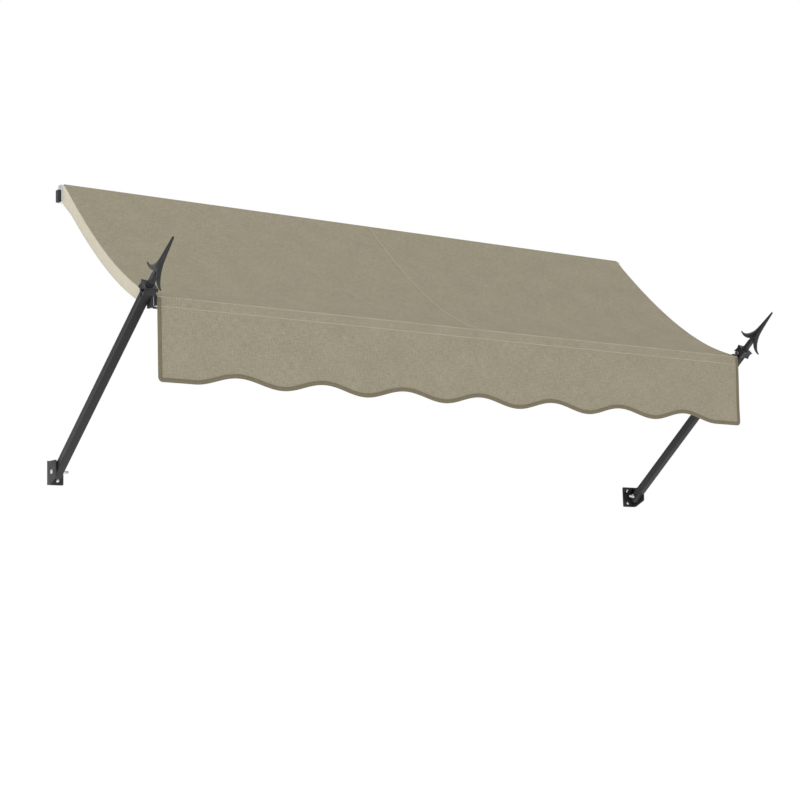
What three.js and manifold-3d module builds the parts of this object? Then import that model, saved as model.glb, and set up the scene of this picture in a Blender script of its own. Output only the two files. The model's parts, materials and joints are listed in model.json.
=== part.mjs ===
// Stationary window awning: a concave fabric canopy with a wavy valance, carried by a head track on
// the wall, two curved ribs, a front bar and two square arms that end in cast spearheads.
//
// Millimetres. +X runs along the wall, +Z is up and the wall's face is the plane y = 0, so
// everything stands at negative y. "Out" is the distance from the wall, -y. The origin is the centre
// of the middle wall clip's back face.
import * as THREE from 'three';
import { mergeVertices } from 'three/addons/utils/BufferGeometryUtils.js';
import Module from 'manifold-3d';

const wasm = await Module();
wasm.setup();

// ---------------------------------------------------------------- driving dimensions
const CANOPY_WIDTH = 2250; // across the fabric
const PROJECTION = 603; // wall to the valance's front face
const CANOPY_DROP = 450; // head fold to the front fold
const VALANCE_HEIGHT = 242; // front fold to the lowest scallop
const TUBE = 25.4; // square arm tube
const ARM_TILT = THREE.MathUtils.degToRad(38.1); // above level
const ARM_OFFSET = 31; // fabric edge to the arm's centre plane
const PIVOT_OUT = 37.5;
const PIVOT_Z = -853;
const ARM_TO_BAR = 700; // pivot to the front bar's bolt, along the arm
const GAP = 0.3; // clearance left where two pieces touch

const HALF_WIDTH = CANOPY_WIDTH / 2;
const FABRIC = 1.6; // thickness that stands for one or two layers of canvas
const HEAD_FOLD = { out: 21.5, z: 29.2 }; // where the cover folds over the track
const FRONT_FOLD = { out: PROJECTION - FABRIC / 2, z: HEAD_FOLD.z - CANOPY_DROP };

// The canopy's slope eases from 47 degrees at the head to 19 at the front bar. It is a cubic curve
// whose four control heights stand at equal steps out from the wall.
const DROP_SHARES = [0, 0.472, 0.856, 1];

const TRACK = { height: 55, back: 3.3, front: 26.5, wall: 2.4, overhang: 12, cavityTop: 10, chamfer: 6.5 };
const GROOVE = { out: 19.5, z: 18.6, radius: 4.4, slot: 2.8, bead: 3 };
const T_SLOT = { centre: -6, neck: 10, head: 20, clearance: 0.6 };
const TRACK_CAP = { back: 4, front: 22.5, floor: -27, top: 11, plate: 8, plug: 8 };
const CLIP_PITCH = 750;
const CLIP = { width: 60, height: 48, plate: 3, jaw: 24, screwOffset: 21 };
const CLIP_SCREW = { radius: 2.4, headRadius: 4.5, headHeight: 3, hole: 2.9 };

const BAR = { size: 25, wall: 2, out: 587, z: HEAD_FOLD.z - 466 };
const POCKET = { back: 572, floor: BAR.z - 16.4 };
const RIB = { width: 12, depth: 33, wall: 1.6 };
const SLEEVE = { width: 16, depth: 38, wall: 1.5 };
const SHOE = { plate: 3, reach: 26, screwZ: -8, hole: 2.1 };
const RIB_SCREW = { radius: 1.8, headRadius: 3.6, headHeight: 2.6, hole: 2.4, reach: 18 };
const END_BLOCK = { half: 12, crown: 10.5, plug: 8.1, washer: 1.2, washerDrop: 1, spacerDrop: 6, spigot: 30 };

const SCALLOPS = 7;
const SCALLOP_PITCH = 289;
const SCALLOP_RISE = 27;
const VALANCE_CORNER = 14;
const BINDING = { width: 12, thickness: 4.4, rim: 1.2 };

const BRACKET = { plate: 3.2, ear: 60, height: 72, flange: 51.5, cutOut: 14, cutUp: 24, washer: 1.6 };
const WALL_SCREW = { radius: 2.6, headRadius: 6.2, headHeight: 4.6, spread: 22, inset: 20 };
const PIVOT_BOLT = { radius: 4, head: 13, headHeight: 4.5, nutHeight: 6, washerRadius: 8 };
const FRONT_BOLT = { radius: 3, head: 10, headHeight: 3, nutHeight: 5 };
const BOLT_TAIL = 33; // arm's centre plane to the free end of a bolt

const COLLAR = { start: 712, end: 741, half: 21, waist: 17 };
const COLLAR_FLOOR = 5; // metal left between the tube's end and the collar's front face
const SPEAR = { tip: 912, root: 784, neck: 6.5, tipRadius: 2, thickness: 12 };
const ARM = { wall: 1.6, corner: 2.5, foot: -18 };

// ---------------------------------------------------------------- materials
function finish(name, color, roughness, metalness) {
  const material = new THREE.MeshStandardMaterial({ color, roughness, metalness });
  material.name = name;
  return material;
}

const TAUPE = finish('taupe_canvas', 0x9a937f, 0.92, 0);
const CREAM = finish('cream_canvas', 0xd3cbb8, 0.92, 0);
const BRAID = finish('binding_braid', 0x80785f, 0.9, 0);
const BLACK_TUBE = finish('black_powder_coat', 0x333335, 0.5, 0.2);
const BLACK_CAST = finish('black_casting', 0x2c2d2f, 0.6, 0.3);
const ALLOY = finish('mill_aluminium', 0xc8cacc, 0.4, 0.9);
const ZINC = finish('zinc_plate', 0xd0d2d4, 0.25, 1);
const BLACK_PLASTIC = finish('black_plastic', 0x3a3a3d, 0.55, 0);

// ---------------------------------------------------------------- solid helpers
function toSolid(geometry) {
  const bare = geometry.index ? geometry.toNonIndexed() : geometry.clone();
  bare.deleteAttribute('normal');
  bare.deleteAttribute('uv');
  const merged = mergeVertices(bare, 1e-4);
  const vertProperties = new Float32Array(merged.attributes.position.array);
  const triVerts = new Uint32Array(merged.index.array);
  return new wasm.Manifold(new wasm.Mesh({ numProp: 3, vertProperties, triVerts }));
}

function toGeometry(solid) {
  const mesh = solid.getMesh();
  const geometry = new THREE.BufferGeometry();
  geometry.setAttribute('position', new THREE.BufferAttribute(mesh.vertProperties, 3));
  geometry.setIndex(new THREE.BufferAttribute(mesh.triVerts, 1));
  geometry.computeVertexNormals();
  return geometry;
}

function cut(base, ...tools) {
  return toGeometry(tools.reduce((solid, tool) => solid.subtract(toSolid(tool)), toSolid(base)));
}

function join(base, ...others) {
  return toGeometry(others.reduce((solid, other) => solid.add(toSolid(other)), toSolid(base)));
}

function polygon(points) {
  return new THREE.Shape(points.map(([u, v]) => new THREE.Vector2(u, v)));
}

function rectangle(u0, u1, v0, v1) {
  return polygon([[u0, v0], [u1, v0], [u1, v1], [u0, v1]]);
}

function roundedRectangle(u0, u1, v0, v1, radius) {
  const shape = new THREE.Shape();
  shape.moveTo(u0 + radius, v0);
  shape.lineTo(u1 - radius, v0);
  shape.absarc(u1 - radius, v0 + radius, radius, -Math.PI / 2, 0);
  shape.lineTo(u1, v1 - radius);
  shape.absarc(u1 - radius, v1 - radius, radius, 0, Math.PI / 2);
  shape.lineTo(u0 + radius, v1);
  shape.absarc(u0 + radius, v1 - radius, radius, Math.PI / 2, Math.PI);
  shape.lineTo(u0, v0 + radius);
  shape.absarc(u0 + radius, v0 + radius, radius, Math.PI, 1.5 * Math.PI);
  shape.closePath();
  return shape;
}

function hexagon(acrossFlats) {
  const radius = acrossFlats / Math.sqrt(3);
  const corners = [];
  for (let k = 0; k < 6; k += 1) {
    const angle = (k * Math.PI) / 3;
    corners.push([radius * Math.cos(angle), radius * Math.sin(angle)]);
  }
  return polygon(corners);
}

// An outline drawn in (y, z), extruded along +X from x0 to x1.
function alongX(shape, x0, x1, curveSegments = 6) {
  const geometry = new THREE.ExtrudeGeometry(shape, { depth: x1 - x0, bevelEnabled: false, curveSegments });
  const basis = new THREE.Matrix4().makeBasis(
    new THREE.Vector3(0, 1, 0),
    new THREE.Vector3(0, 0, 1),
    new THREE.Vector3(1, 0, 0),
  );
  return geometry.applyMatrix4(basis).translate(x0, 0, 0);
}

// An outline drawn in (x, z), extruded out from the wall between two distances.
function outFromWall(shape, outBack, outFront, curveSegments = 6) {
  const depth = outFront - outBack;
  const geometry = new THREE.ExtrudeGeometry(shape, { depth, bevelEnabled: false, curveSegments });
  return geometry.rotateX(Math.PI / 2).translate(0, -outBack, 0);
}

// An outline drawn in (x, y), extruded along +Z.
function alongZ(shape, z0, z1, curveSegments = 4) {
  const depth = z1 - z0;
  return new THREE.ExtrudeGeometry(shape, { depth, bevelEnabled: false, curveSegments }).translate(0, 0, z0);
}

function rodAlongX(radius, x0, x1, segments = 20) {
  return new THREE.CylinderGeometry(radius, radius, x1 - x0, segments)
    .rotateZ(-Math.PI / 2)
    .translate((x0 + x1) / 2, 0, 0);
}

function rodAlongY(radius, y0, y1, segments = 20) {
  return new THREE.CylinderGeometry(radius, radius, y1 - y0, segments).translate(0, (y0 + y1) / 2, 0);
}

const awning = new THREE.Group();

function place(name, geometry, material, position = [0, 0, 0], parent = awning) {
  const mesh = new THREE.Mesh(geometry, material);
  mesh.name = name;
  mesh.position.set(...position);
  parent.add(mesh);
  return mesh;
}

const SIDES = [
  { name: 'left', sign: -1 },
  { name: 'right', sign: 1 },
];

// The range of x on one side of the awning between two distances from the centre line.
function span(sign, near, far) {
  return sign > 0 ? [near, far] : [-far, -near];
}

// ---------------------------------------------------------------- canopy curve
const CANOPY_RUN = FRONT_FOLD.out - HEAD_FOLD.out;

// Share of the drop reached at a share u of the run, and its rate of change.
function dropShare(u) {
  const [s0, s1, s2, s3] = DROP_SHARES;
  const v = 1 - u;
  return {
    share: s0 * v * v * v + 3 * s1 * v * v * u + 3 * s2 * v * u * u + s3 * u * u * u,
    rate: 3 * (v * v * (s1 - s0) + 2 * v * u * (s2 - s1) + u * u * (s3 - s2)),
  };
}

// Point (y, z) of the canopy's middle surface at a distance out, moved inwards along its normal.
function canopyPoint(out, inward = 0) {
  const { share, rate } = dropShare((out - HEAD_FOLD.out) / CANOPY_RUN);
  const slope = (rate * CANOPY_DROP) / CANOPY_RUN;
  const length = Math.hypot(1, slope);
  return [-out + (inward * slope) / length, HEAD_FOLD.z - share * CANOPY_DROP - inward / length];
}

// Outline of a band under the canopy between two depths below its middle surface, cut off upright at
// both ends. A height on either edge is found between two near points of a finely stepped curve.
const CURVE_SAMPLES = 160;
const CURVE_START = HEAD_FOLD.out - 60;
const CURVE_END = FRONT_FOLD.out + 20;

function bandOutline(outStart, outEnd, shallow, deep, steps = 18) {
  const edge = (inward) => {
    const points = [];
    for (let k = 0; k <= CURVE_SAMPLES; k += 1) {
      const out = THREE.MathUtils.lerp(CURVE_START, CURVE_END, k / CURVE_SAMPLES);
      points.push(canopyPoint(out, inward));
    }
    const heightAt = (out) => {
      const next = points.findIndex(([y]) => -y >= out);
      const [y0, z0] = points[next - 1];
      const [y1, z1] = points[next];
      return THREE.MathUtils.lerp(z0, z1, (out + y0) / (y0 - y1));
    };
    const result = [];
    for (let k = 0; k <= steps; k += 1) {
      const out = THREE.MathUtils.lerp(outStart, outEnd, k / steps);
      result.push([-out, heightAt(out)]);
    }
    return result;
  };
  return polygon([...edge(shallow), ...edge(deep).reverse()]);
}

// ---------------------------------------------------------------- head track and its clips
// A box section with a round groove for the cover's bead in its upper front corner, open through a
// narrow slot above, and a T slot behind for the wall clips.
function trackOutline() {
  const { height, back, front, wall, cavityTop, chamfer } = TRACK;
  const half = height / 2;
  const slotFloor = T_SLOT.centre - T_SLOT.neck / 2 - T_SLOT.clearance;
  const slotTop = T_SLOT.centre + T_SLOT.neck / 2 + T_SLOT.clearance;
  const slotHalf = GROOVE.slot / 2;
  const opening = Math.asin(slotHalf / GROOVE.radius);
  const steps = 14;
  const bore = [];
  for (let k = steps; k >= 0; k -= 1) {
    const angle = Math.PI / 2 + opening + (2 * (Math.PI - opening) * k) / steps;
    const y = -GROOVE.out + GROOVE.radius * Math.cos(angle);
    bore.push([y, GROOVE.z + GROOVE.radius * Math.sin(angle)]);
  }
  return polygon([
    [-back, slotTop], [-back, half], [-GROOVE.out + slotHalf, half],
    ...bore,
    [-GROOVE.out - slotHalf, half], [-front, half - chamfer], [-front, -half],
    [-back, -half], [-back, slotFloor], [-back - wall, slotFloor], [-back - wall, -half + wall],
    [-front + wall, -half + wall], [-front + wall, cavityTop], [-back - wall, cavityTop],
    [-back - wall, slotTop],
  ]);
}

const RIB_CENTRE = HALF_WIDTH - SLEEVE.width / 2;
const TRACK_END = HALF_WIDTH + TRACK.overhang;

function headClip() {
  const { width, height, plate, jaw, screwOffset } = CLIP;
  const { centre, neck, head } = T_SLOT;
  const neckFront = 6.3;
  const headFront = 8.8;
  const back = outFromWall(roundedRectangle(-width / 2, width / 2, -height / 2, height / 2, 3), 0, plate);
  const stem = rectangle(-neckFront, -plate + 0.5, centre - neck / 2, centre + neck / 2);
  const hook = rectangle(-headFront, -neckFront + 0.2, centre - head / 2, centre + head / 2);
  const holes = [-1, 1].map((side) => rodAlongY(CLIP_SCREW.hole, -plate - 1, 1)
    .translate(side * screwOffset, 0, centre));
  return cut(join(back, alongX(stem, -jaw / 2, jaw / 2), alongX(hook, -jaw / 2, jaw / 2)), ...holes);
}

function addTrack() {
  const body = alongX(trackOutline(), -TRACK_END, TRACK_END);
  const drills = SIDES.map(({ sign }) => {
    const drill = rodAlongY(RIB_SCREW.hole, -TRACK.front - 1, -TRACK.front + TRACK.wall + 1);
    return drill.translate(sign * RIB_CENTRE, 0, SHOE.screwZ);
  });
  place('head_track', cut(body, ...drills), ALLOY);

  const { back, front, floor, top, plate, plug } = TRACK_CAP;
  const inset = TRACK.wall + 1;
  const stubFloor = -TRACK.height / 2 + inset;
  for (const { name, sign } of SIDES) {
    const end = TRACK_END + GAP;
    const face = alongX(roundedRectangle(-front, -back, floor, top, 2), ...span(sign, end, end + plate));
    const fit = rectangle(-TRACK.front + inset, -TRACK.back - inset, stubFloor, TRACK.cavityTop - 1);
    const stub = alongX(fit, ...span(sign, end - plug, end + 0.5));
    place(`track_cap_${name}`, join(face, stub), BLACK_PLASTIC);
  }

  const clip = headClip();
  const { radius, headRadius, headHeight } = CLIP_SCREW;
  const seat = CLIP.plate + GAP;
  const screw = join(
    rodAlongY(radius, -seat - 1, 0, 12),
    rodAlongY(headRadius, -seat - headHeight, -seat, 12),
  );
  for (const [k, label] of ['left', 'centre', 'right'].entries()) {
    const x = (k - 1) * CLIP_PITCH;
    place(`head_clip_${label}`, clip.clone(), ALLOY, [x, 0, 0]);
    for (const [side, sideName] of [[-1, 'a'], [1, 'b']]) {
      const position = [x + side * CLIP.screwOffset, 0, T_SLOT.centre];
      place(`head_clip_screw_${label}_${sideName}`, screw.clone(), ZINC, position);
    }
  }
}

// ---------------------------------------------------------------- fabric cover
function canopyOutline() {
  const half = FABRIC / 2;
  const steps = 24;
  const upper = [];
  const lower = [];
  for (let k = 0; k <= steps; k += 1) {
    const out = THREE.MathUtils.lerp(HEAD_FOLD.out + 1, FRONT_FOLD.out, k / steps);
    upper.push(canopyPoint(out, -half));
    lower.push(canopyPoint(out, half));
  }
  const tongue = GROOVE.z + GROOVE.bead + GAP + 0.2;
  return polygon([
    [-GROOVE.out + half, tongue], [-GROOVE.out + half, HEAD_FOLD.z + half],
    ...upper,
    ...lower.reverse(),
    [-GROOVE.out - half, HEAD_FOLD.z - half], [-GROOVE.out - half, tongue],
  ]);
}

// Lower edge of the valance: level beyond the outer scallops, raised cosine arches between them.
const SCALLOPED_HALF = (SCALLOPS * SCALLOP_PITCH) / 2;

function valanceEdge(x, raise = 0) {
  const lowest = FRONT_FOLD.z - VALANCE_HEIGHT + raise;
  if (Math.abs(x) >= SCALLOPED_HALF) return lowest;
  const phase = ((x + SCALLOPED_HALF) / SCALLOP_PITCH) * 2 * Math.PI;
  return lowest + (SCALLOP_RISE / 2) * (1 - Math.cos(phase));
}

// Valance outline, pulled in from its sides and lower edge by an inset.
function valanceOutline(inset, top) {
  const right = HALF_WIDTH - inset;
  const radius = Math.max(VALANCE_CORNER - inset, 2);
  const floor = valanceEdge(HALF_WIDTH, inset);
  const cornerSteps = 5;
  const corner = [];
  for (let k = 0; k <= cornerSteps; k += 1) {
    const angle = (k * Math.PI) / 2 / cornerSteps;
    corner.push([right - radius * (1 - Math.cos(angle)), floor + radius * (1 - Math.sin(angle))]);
  }
  const steps = SCALLOPS * 10;
  const scallops = [];
  for (let k = steps; k >= 0; k -= 1) {
    const x = THREE.MathUtils.lerp(-SCALLOPED_HALF, SCALLOPED_HALF, k / steps);
    scallops.push([x, valanceEdge(x, inset)]);
  }
  const mirrored = corner.map(([x, z]) => [-x, z]).reverse();
  return polygon([[right, top], ...corner, ...scallops, ...mirrored, [-right, top]]);
}

function addCover() {
  const outline = canopyOutline();
  place('canopy_left', alongX(outline, -HALF_WIDTH, -GAP / 2), TAUPE);
  place('canopy_right', alongX(outline, GAP / 2, HALF_WIDTH), TAUPE);
  const bead = rodAlongX(GROOVE.bead, -HALF_WIDTH, HALF_WIDTH, 12);
  place('head_bead', bead, CREAM, [0, -GROOVE.out, GROOVE.z]);

  const out = FRONT_FOLD.out;
  const half = FABRIC / 2;
  const top = FRONT_FOLD.z - half - GAP;
  place('valance', outFromWall(valanceOutline(BINDING.rim + GAP, top), out - half, out + half), TAUPE);

  const sideTop = top - 2;
  const above = sideTop + 10;
  const bandHalf = BINDING.thickness / 2;
  const band = outFromWall(valanceOutline(0, sideTop), out - bandHalf, out + bandHalf);
  const opening = outFromWall(valanceOutline(BINDING.width, above), out - 10, out + 10);
  const throat = outFromWall(valanceOutline(BINDING.rim, above), out - half - GAP, out + half + GAP);
  place('valance_binding', cut(band, opening, throat), BRAID);

  const pocketTop = canopyPoint(POCKET.back, half + GAP)[1] - GAP;
  const pocket = polygon([
    [-POCKET.back, pocketTop - GAP], [-POCKET.back - FABRIC, pocketTop - 3 * GAP],
    [-POCKET.back - FABRIC, POCKET.floor + FABRIC], [-out + half + GAP, POCKET.floor + FABRIC],
    [-out + half + GAP, POCKET.floor], [-POCKET.back, POCKET.floor],
  ]);
  const pocketReach = HALF_WIDTH - SLEEVE.width - 1;
  place('bar_pocket', alongX(pocket, -pocketReach, pocketReach), TAUPE);
}

// ---------------------------------------------------------------- ribs, sleeves and shoes
function addRibs() {
  const headOut = TRACK.front + GAP;
  const frontOut = BAR.out - BAR.size / 2 - GAP;
  const sleeveTop = FABRIC / 2 + GAP;
  const ribTop = sleeveTop + SLEEVE.wall + GAP;
  const ribHead = headOut + SHOE.plate + GAP;
  const ribFront = frontOut - SHOE.plate - GAP;

  const sleeveBand = bandOutline(headOut, frontOut, sleeveTop, sleeveTop + SLEEVE.depth);
  const sleeveHollow = bandOutline(
    headOut - 5,
    frontOut + 5,
    sleeveTop + SLEEVE.wall,
    sleeveTop + SLEEVE.depth - SLEEVE.wall,
  );
  const sleeveHalf = SLEEVE.width / 2;
  const sleeve = cut(
    alongX(sleeveBand, -sleeveHalf, sleeveHalf),
    alongX(sleeveHollow, -sleeveHalf + SLEEVE.wall, sleeveHalf - SLEEVE.wall),
  );

  const ribHalf = RIB.width / 2;
  const ribFloor = ribTop + RIB.depth;
  const ribHollow = bandOutline(ribHead - 5, ribFront + 5, ribTop + RIB.wall, ribFloor - RIB.wall);
  const rib = cut(
    alongX(bandOutline(ribHead, ribFront, ribTop, ribFloor), -ribHalf, ribHalf),
    alongX(ribHollow, -ribHalf + RIB.wall, ribHalf - RIB.wall),
  );

  const spigotHalf = ribHalf - RIB.wall - GAP;
  const spigotTop = ribTop + RIB.wall + GAP;
  const spigotFloor = ribFloor - RIB.wall - GAP;
  const shoe = (plateStart, plateEnd, spigotStart, spigotEnd, screwZ) => cut(
    join(
      alongX(bandOutline(plateStart, plateEnd, ribTop, ribFloor, 2), -ribHalf, ribHalf),
      alongX(bandOutline(spigotStart, spigotEnd, spigotTop, spigotFloor, 4), -spigotHalf, spigotHalf),
    ),
    rodAlongY(SHOE.hole, -Math.max(plateEnd, spigotEnd) - 1, -Math.min(plateStart, spigotStart) + 1)
      .translate(0, 0, screwZ),
  );
  const headShoe = shoe(headOut, headOut + SHOE.plate, headOut + 0.5, headOut + SHOE.reach, SHOE.screwZ);
  const frontShoe = shoe(frontOut - SHOE.plate, frontOut, frontOut - SHOE.reach, frontOut - 0.5, BAR.z);

  const { radius, headRadius, headHeight, reach } = RIB_SCREW;
  const screw = (shankStart, shankEnd, headStart) => join(
    rodAlongY(radius, -shankEnd, -shankStart, 14),
    rodAlongY(headRadius, -headStart - headHeight, -headStart, 14),
  );
  const trackInner = TRACK.front - TRACK.wall - GAP;
  const headScrew = screw(trackInner - 1, TRACK.front + reach, trackInner - headHeight);
  const barInner = BAR.out - BAR.size / 2 + BAR.wall + GAP;
  const frontScrew = screw(barInner - BAR.wall - reach, barInner + 1, barInner);

  for (const { name, sign } of SIDES) {
    const x = sign * RIB_CENTRE;
    place(`side_sleeve_${name}`, sleeve.clone(), CREAM, [x, 0, 0]);
    place(`rib_${name}`, rib.clone(), ALLOY, [x, 0, 0]);
    place(`rib_head_shoe_${name}`, headShoe.clone(), BLACK_PLASTIC, [x, 0, 0]);
    place(`rib_front_shoe_${name}`, frontShoe.clone(), BLACK_PLASTIC, [x, 0, 0]);
    place(`rib_head_screw_${name}`, headScrew.clone(), ZINC, [x, 0, SHOE.screwZ]);
    place(`rib_front_screw_${name}`, frontScrew.clone(), ZINC, [x, 0, BAR.z]);
  }
}

// ---------------------------------------------------------------- front bar and its ends
const ARM_X = HALF_WIDTH + ARM_OFFSET;
const ARM_INNER = ARM_X - TUBE / 2;
const BOLT = {
  out: PIVOT_OUT + ARM_TO_BAR * Math.cos(ARM_TILT),
  z: PIVOT_Z + ARM_TO_BAR * Math.sin(ARM_TILT),
};

// Upright block, flat below and round about the bolt above, that ties the bar to the arm.
function endBlockOutline(floor) {
  const { half, crown } = END_BLOCK;
  const shape = new THREE.Shape();
  shape.moveTo(-BAR.out - half, floor);
  shape.lineTo(-BAR.out + half, floor);
  shape.lineTo(-BOLT.out + crown, BOLT.z);
  shape.absarc(-BOLT.out, BOLT.z, crown, 0, Math.PI);
  shape.closePath();
  return shape;
}

function addFrontBar() {
  const half = BAR.size / 2;
  const inner = half - BAR.wall;
  const barEnd = HALF_WIDTH - GAP;
  const drills = SIDES.map(({ sign }) => rodAlongY(RIB_SCREW.hole, inner - 1, half + 1)
    .translate(sign * RIB_CENTRE, 0, 0));
  const tube = cut(
    alongX(roundedRectangle(-half, half, -half, half, 1.5), -barEnd, barEnd),
    alongX(rectangle(-inner, inner, -inner, inner), -barEnd - 1, barEnd + 1),
    ...drills,
  );
  place('front_bar', tube, ALLOY, [0, -BAR.out, BAR.z]);

  const { plug, washer, washerDrop, spacerDrop, spigot } = END_BLOCK;
  const floor = BAR.z - half;
  const plugStart = HALF_WIDTH + GAP;
  const washerStart = plugStart + plug + GAP;
  const spacerStart = washerStart + washer + GAP;
  const boltEnd = HALF_WIDTH + 3.4;
  const headSeat = ARM_X + TUBE / 2 + GAP;
  const { radius, head, headHeight } = FRONT_BOLT;
  for (const { name, sign } of SIDES) {
    const block = (drop, start, end) => alongX(endBlockOutline(floor - drop), ...span(sign, start, end));
    const hole = rodAlongX(radius + GAP, ...span(sign, boltEnd - 0.4, headSeat));
    hole.translate(0, -BOLT.out, BOLT.z);
    const tongue = alongX(
      rectangle(-BAR.out - inner + GAP, -BAR.out + inner - 3.6, BAR.z - inner + GAP, BAR.z + inner - GAP),
      ...span(sign, barEnd - spigot, plugStart + 1),
    );
    const body = block(0, plugStart, plugStart + plug);
    place(`bar_end_plug_${name}`, cut(join(body, tongue), hole), BLACK_PLASTIC);
    const shim = block(washerDrop, washerStart, washerStart + washer);
    place(`bar_end_washer_${name}`, cut(shim, hole), ZINC);
    const spacer = block(spacerDrop, spacerStart, ARM_INNER - GAP);
    place(`bar_end_spacer_${name}`, cut(spacer, hole), BLACK_PLASTIC);

    const shank = rodAlongX(radius, ...span(sign, boltEnd, headSeat + 0.5));
    const cap = rodAlongX(head / 2, ...span(sign, headSeat, headSeat + headHeight), 24);
    place(`bar_end_bolt_${name}`, join(shank, cap), BLACK_CAST, [0, -BOLT.out, BOLT.z]);
  }
}

// ---------------------------------------------------------------- arms and finials
// A square whose sides are hollowed by shallow arcs, so that its corners stand out as points.
function hollowSquare(halfU, halfV, waistU, waistV) {
  const shape = new THREE.Shape();
  shape.moveTo(-halfU, -halfV);
  shape.quadraticCurveTo(0, -2 * waistV + halfV, halfU, -halfV);
  shape.quadraticCurveTo(2 * waistU - halfU, 0, halfU, halfV);
  shape.quadraticCurveTo(0, 2 * waistV - halfV, -halfU, halfV);
  shape.quadraticCurveTo(-2 * waistU + halfU, 0, -halfU, -halfV);
  return shape;
}

// Flat view of the spearhead: a long blade that flares into two swept-back barbs with raised tips.
function spearOutline() {
  const { tip, root, neck, tipRadius } = SPEAR;
  const shape = new THREE.Shape();
  shape.moveTo(-neck, COLLAR.end - 3);
  shape.lineTo(neck, COLLAR.end - 3);
  shape.lineTo(neck + 1, root - 6);
  shape.bezierCurveTo(neck + 12, root - 14, 38, root - 24, 58, root - 16);
  shape.quadraticCurveTo(60, root - 13, 57, root - 12);
  shape.bezierCurveTo(42, root - 12, 25, root + 4, 16, root + 30);
  shape.bezierCurveTo(11, root + 48, 7, root + 76, tipRadius, tip);
  shape.lineTo(-tipRadius, tip);
  shape.bezierCurveTo(-7, root + 76, -11, root + 48, -16, root + 30);
  shape.bezierCurveTo(-25, root + 4, -42, root - 12, -57, root - 12);
  shape.quadraticCurveTo(-60, root - 13, -58, root - 16);
  shape.bezierCurveTo(-38, root - 24, -neck - 12, root - 14, -neck - 1, root - 6);
  shape.closePath();
  return shape;
}

const FINIAL_BOLT_AT = COLLAR.start + 6;

function finialGeometry() {
  const { start, end, half, waist } = COLLAR;
  const middle = (start + end) / 2;
  const halfLength = (end - start) / 2;
  const across = alongZ(hollowSquare(half, half, waist, waist), start, end, 5);
  const sideView = hollowSquare(half, halfLength, waist + 3, halfLength - 2);
  const fromSide = alongX(sideView, -half - 1, half + 1, 5).translate(0, 0, middle);
  const fromFront = outFromWall(sideView, -half - 1, half + 1, 5).translate(0, 0, middle);
  const collar = toSolid(across).intersect(toSolid(fromSide)).intersect(toSolid(fromFront));

  const thick = SPEAR.thickness / 2;
  const flat = alongX(spearOutline(), -thick - 1, thick + 1, 7);
  const taper = outFromWall(polygon([
    [-thick - 1, end - 4], [thick + 1, end - 4], [thick, SPEAR.root], [thick - 0.5, SPEAR.root + 44],
    [1.5, SPEAR.tip + 1], [-1.5, SPEAR.tip + 1], [-thick + 0.5, SPEAR.root + 44], [-thick, SPEAR.root],
  ]), -80, 80);
  const spear = toSolid(flat).intersect(toSolid(taper));

  const socket = TUBE / 2 + GAP;
  const bore = alongZ(roundedRectangle(-socket, socket, -socket, socket, 2), start - 1, end - COLLAR_FLOOR);
  const boltHole = rodAlongX(FRONT_BOLT.radius + GAP, -30, 30).translate(0, 0, FINIAL_BOLT_AT);
  const solid = collar.add(spear).subtract(toSolid(bore)).subtract(toSolid(boltHole));
  return toGeometry(solid);
}

function armTube() {
  const half = TUBE / 2;
  const bore = half - ARM.wall;
  const end = COLLAR.end - COLLAR_FLOOR - GAP;
  const holes = [
    [0, PIVOT_BOLT.radius],
    [ARM_TO_BAR, FRONT_BOLT.radius],
    [FINIAL_BOLT_AT, FRONT_BOLT.radius],
  ];
  return cut(
    alongZ(roundedRectangle(-half, half, -half, half, ARM.corner), ARM.foot, end),
    alongZ(rectangle(-bore, bore, -bore, bore), ARM.foot - 2, end + 2),
    ...holes.map(([at, radius]) => rodAlongX(radius + GAP, -TUBE, TUBE).translate(0, 0, at)),
  );
}

function addArms() {
  const tube = armTube();
  const finial = finialGeometry();
  const seat = COLLAR.waist + 1.4;
  const { radius, head, headHeight, nutHeight } = FRONT_BOLT;
  for (const { name, sign } of SIDES) {
    const group = new THREE.Group();
    group.position.set(sign * ARM_X, -PIVOT_OUT, PIVOT_Z);
    group.rotation.x = Math.PI / 2 - ARM_TILT;
    awning.add(group);
    place(`arm_${name}`, tube.clone(), BLACK_TUBE, [0, 0, 0], group);
    place(`spear_finial_${name}`, finial.clone(), BLACK_CAST, [0, 0, 0], group);

    const bolt = join(
      rodAlongX(radius, ...span(sign, -BOLT_TAIL, seat + 0.4), 16),
      rodAlongX(head / 2, ...span(sign, seat, seat + headHeight), 20),
    );
    place(`finial_bolt_${name}`, bolt, ZINC, [0, 0, FINIAL_BOLT_AT], group);
    const nut = cut(
      alongX(hexagon(head), ...span(sign, -seat - nutHeight, -seat)),
      rodAlongX(radius + GAP, -BOLT_TAIL, BOLT_TAIL, 16),
    );
    place(`finial_nut_${name}`, nut, ZINC, [0, 0, FINIAL_BOLT_AT], group);
  }
}

// ---------------------------------------------------------------- wall brackets
function earOutline() {
  const { ear, height, cutOut, cutUp } = BRACKET;
  const up = height / 2;
  const shape = new THREE.Shape();
  shape.moveTo(0, -up);
  shape.lineTo(-cutOut, -up);
  shape.lineTo(-ear + 4, -up + cutUp - 6);
  shape.quadraticCurveTo(-ear, -up + cutUp - 3, -ear, -up + cutUp + 3);
  shape.lineTo(-ear, up - 8);
  shape.absarc(-ear + 6, up - 8, 6, Math.PI, Math.PI / 2, true);
  shape.lineTo(-10, up - 2);
  shape.quadraticCurveTo(-7, up, -4, up);
  shape.lineTo(0, up);
  shape.closePath();
  return shape;
}

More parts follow.
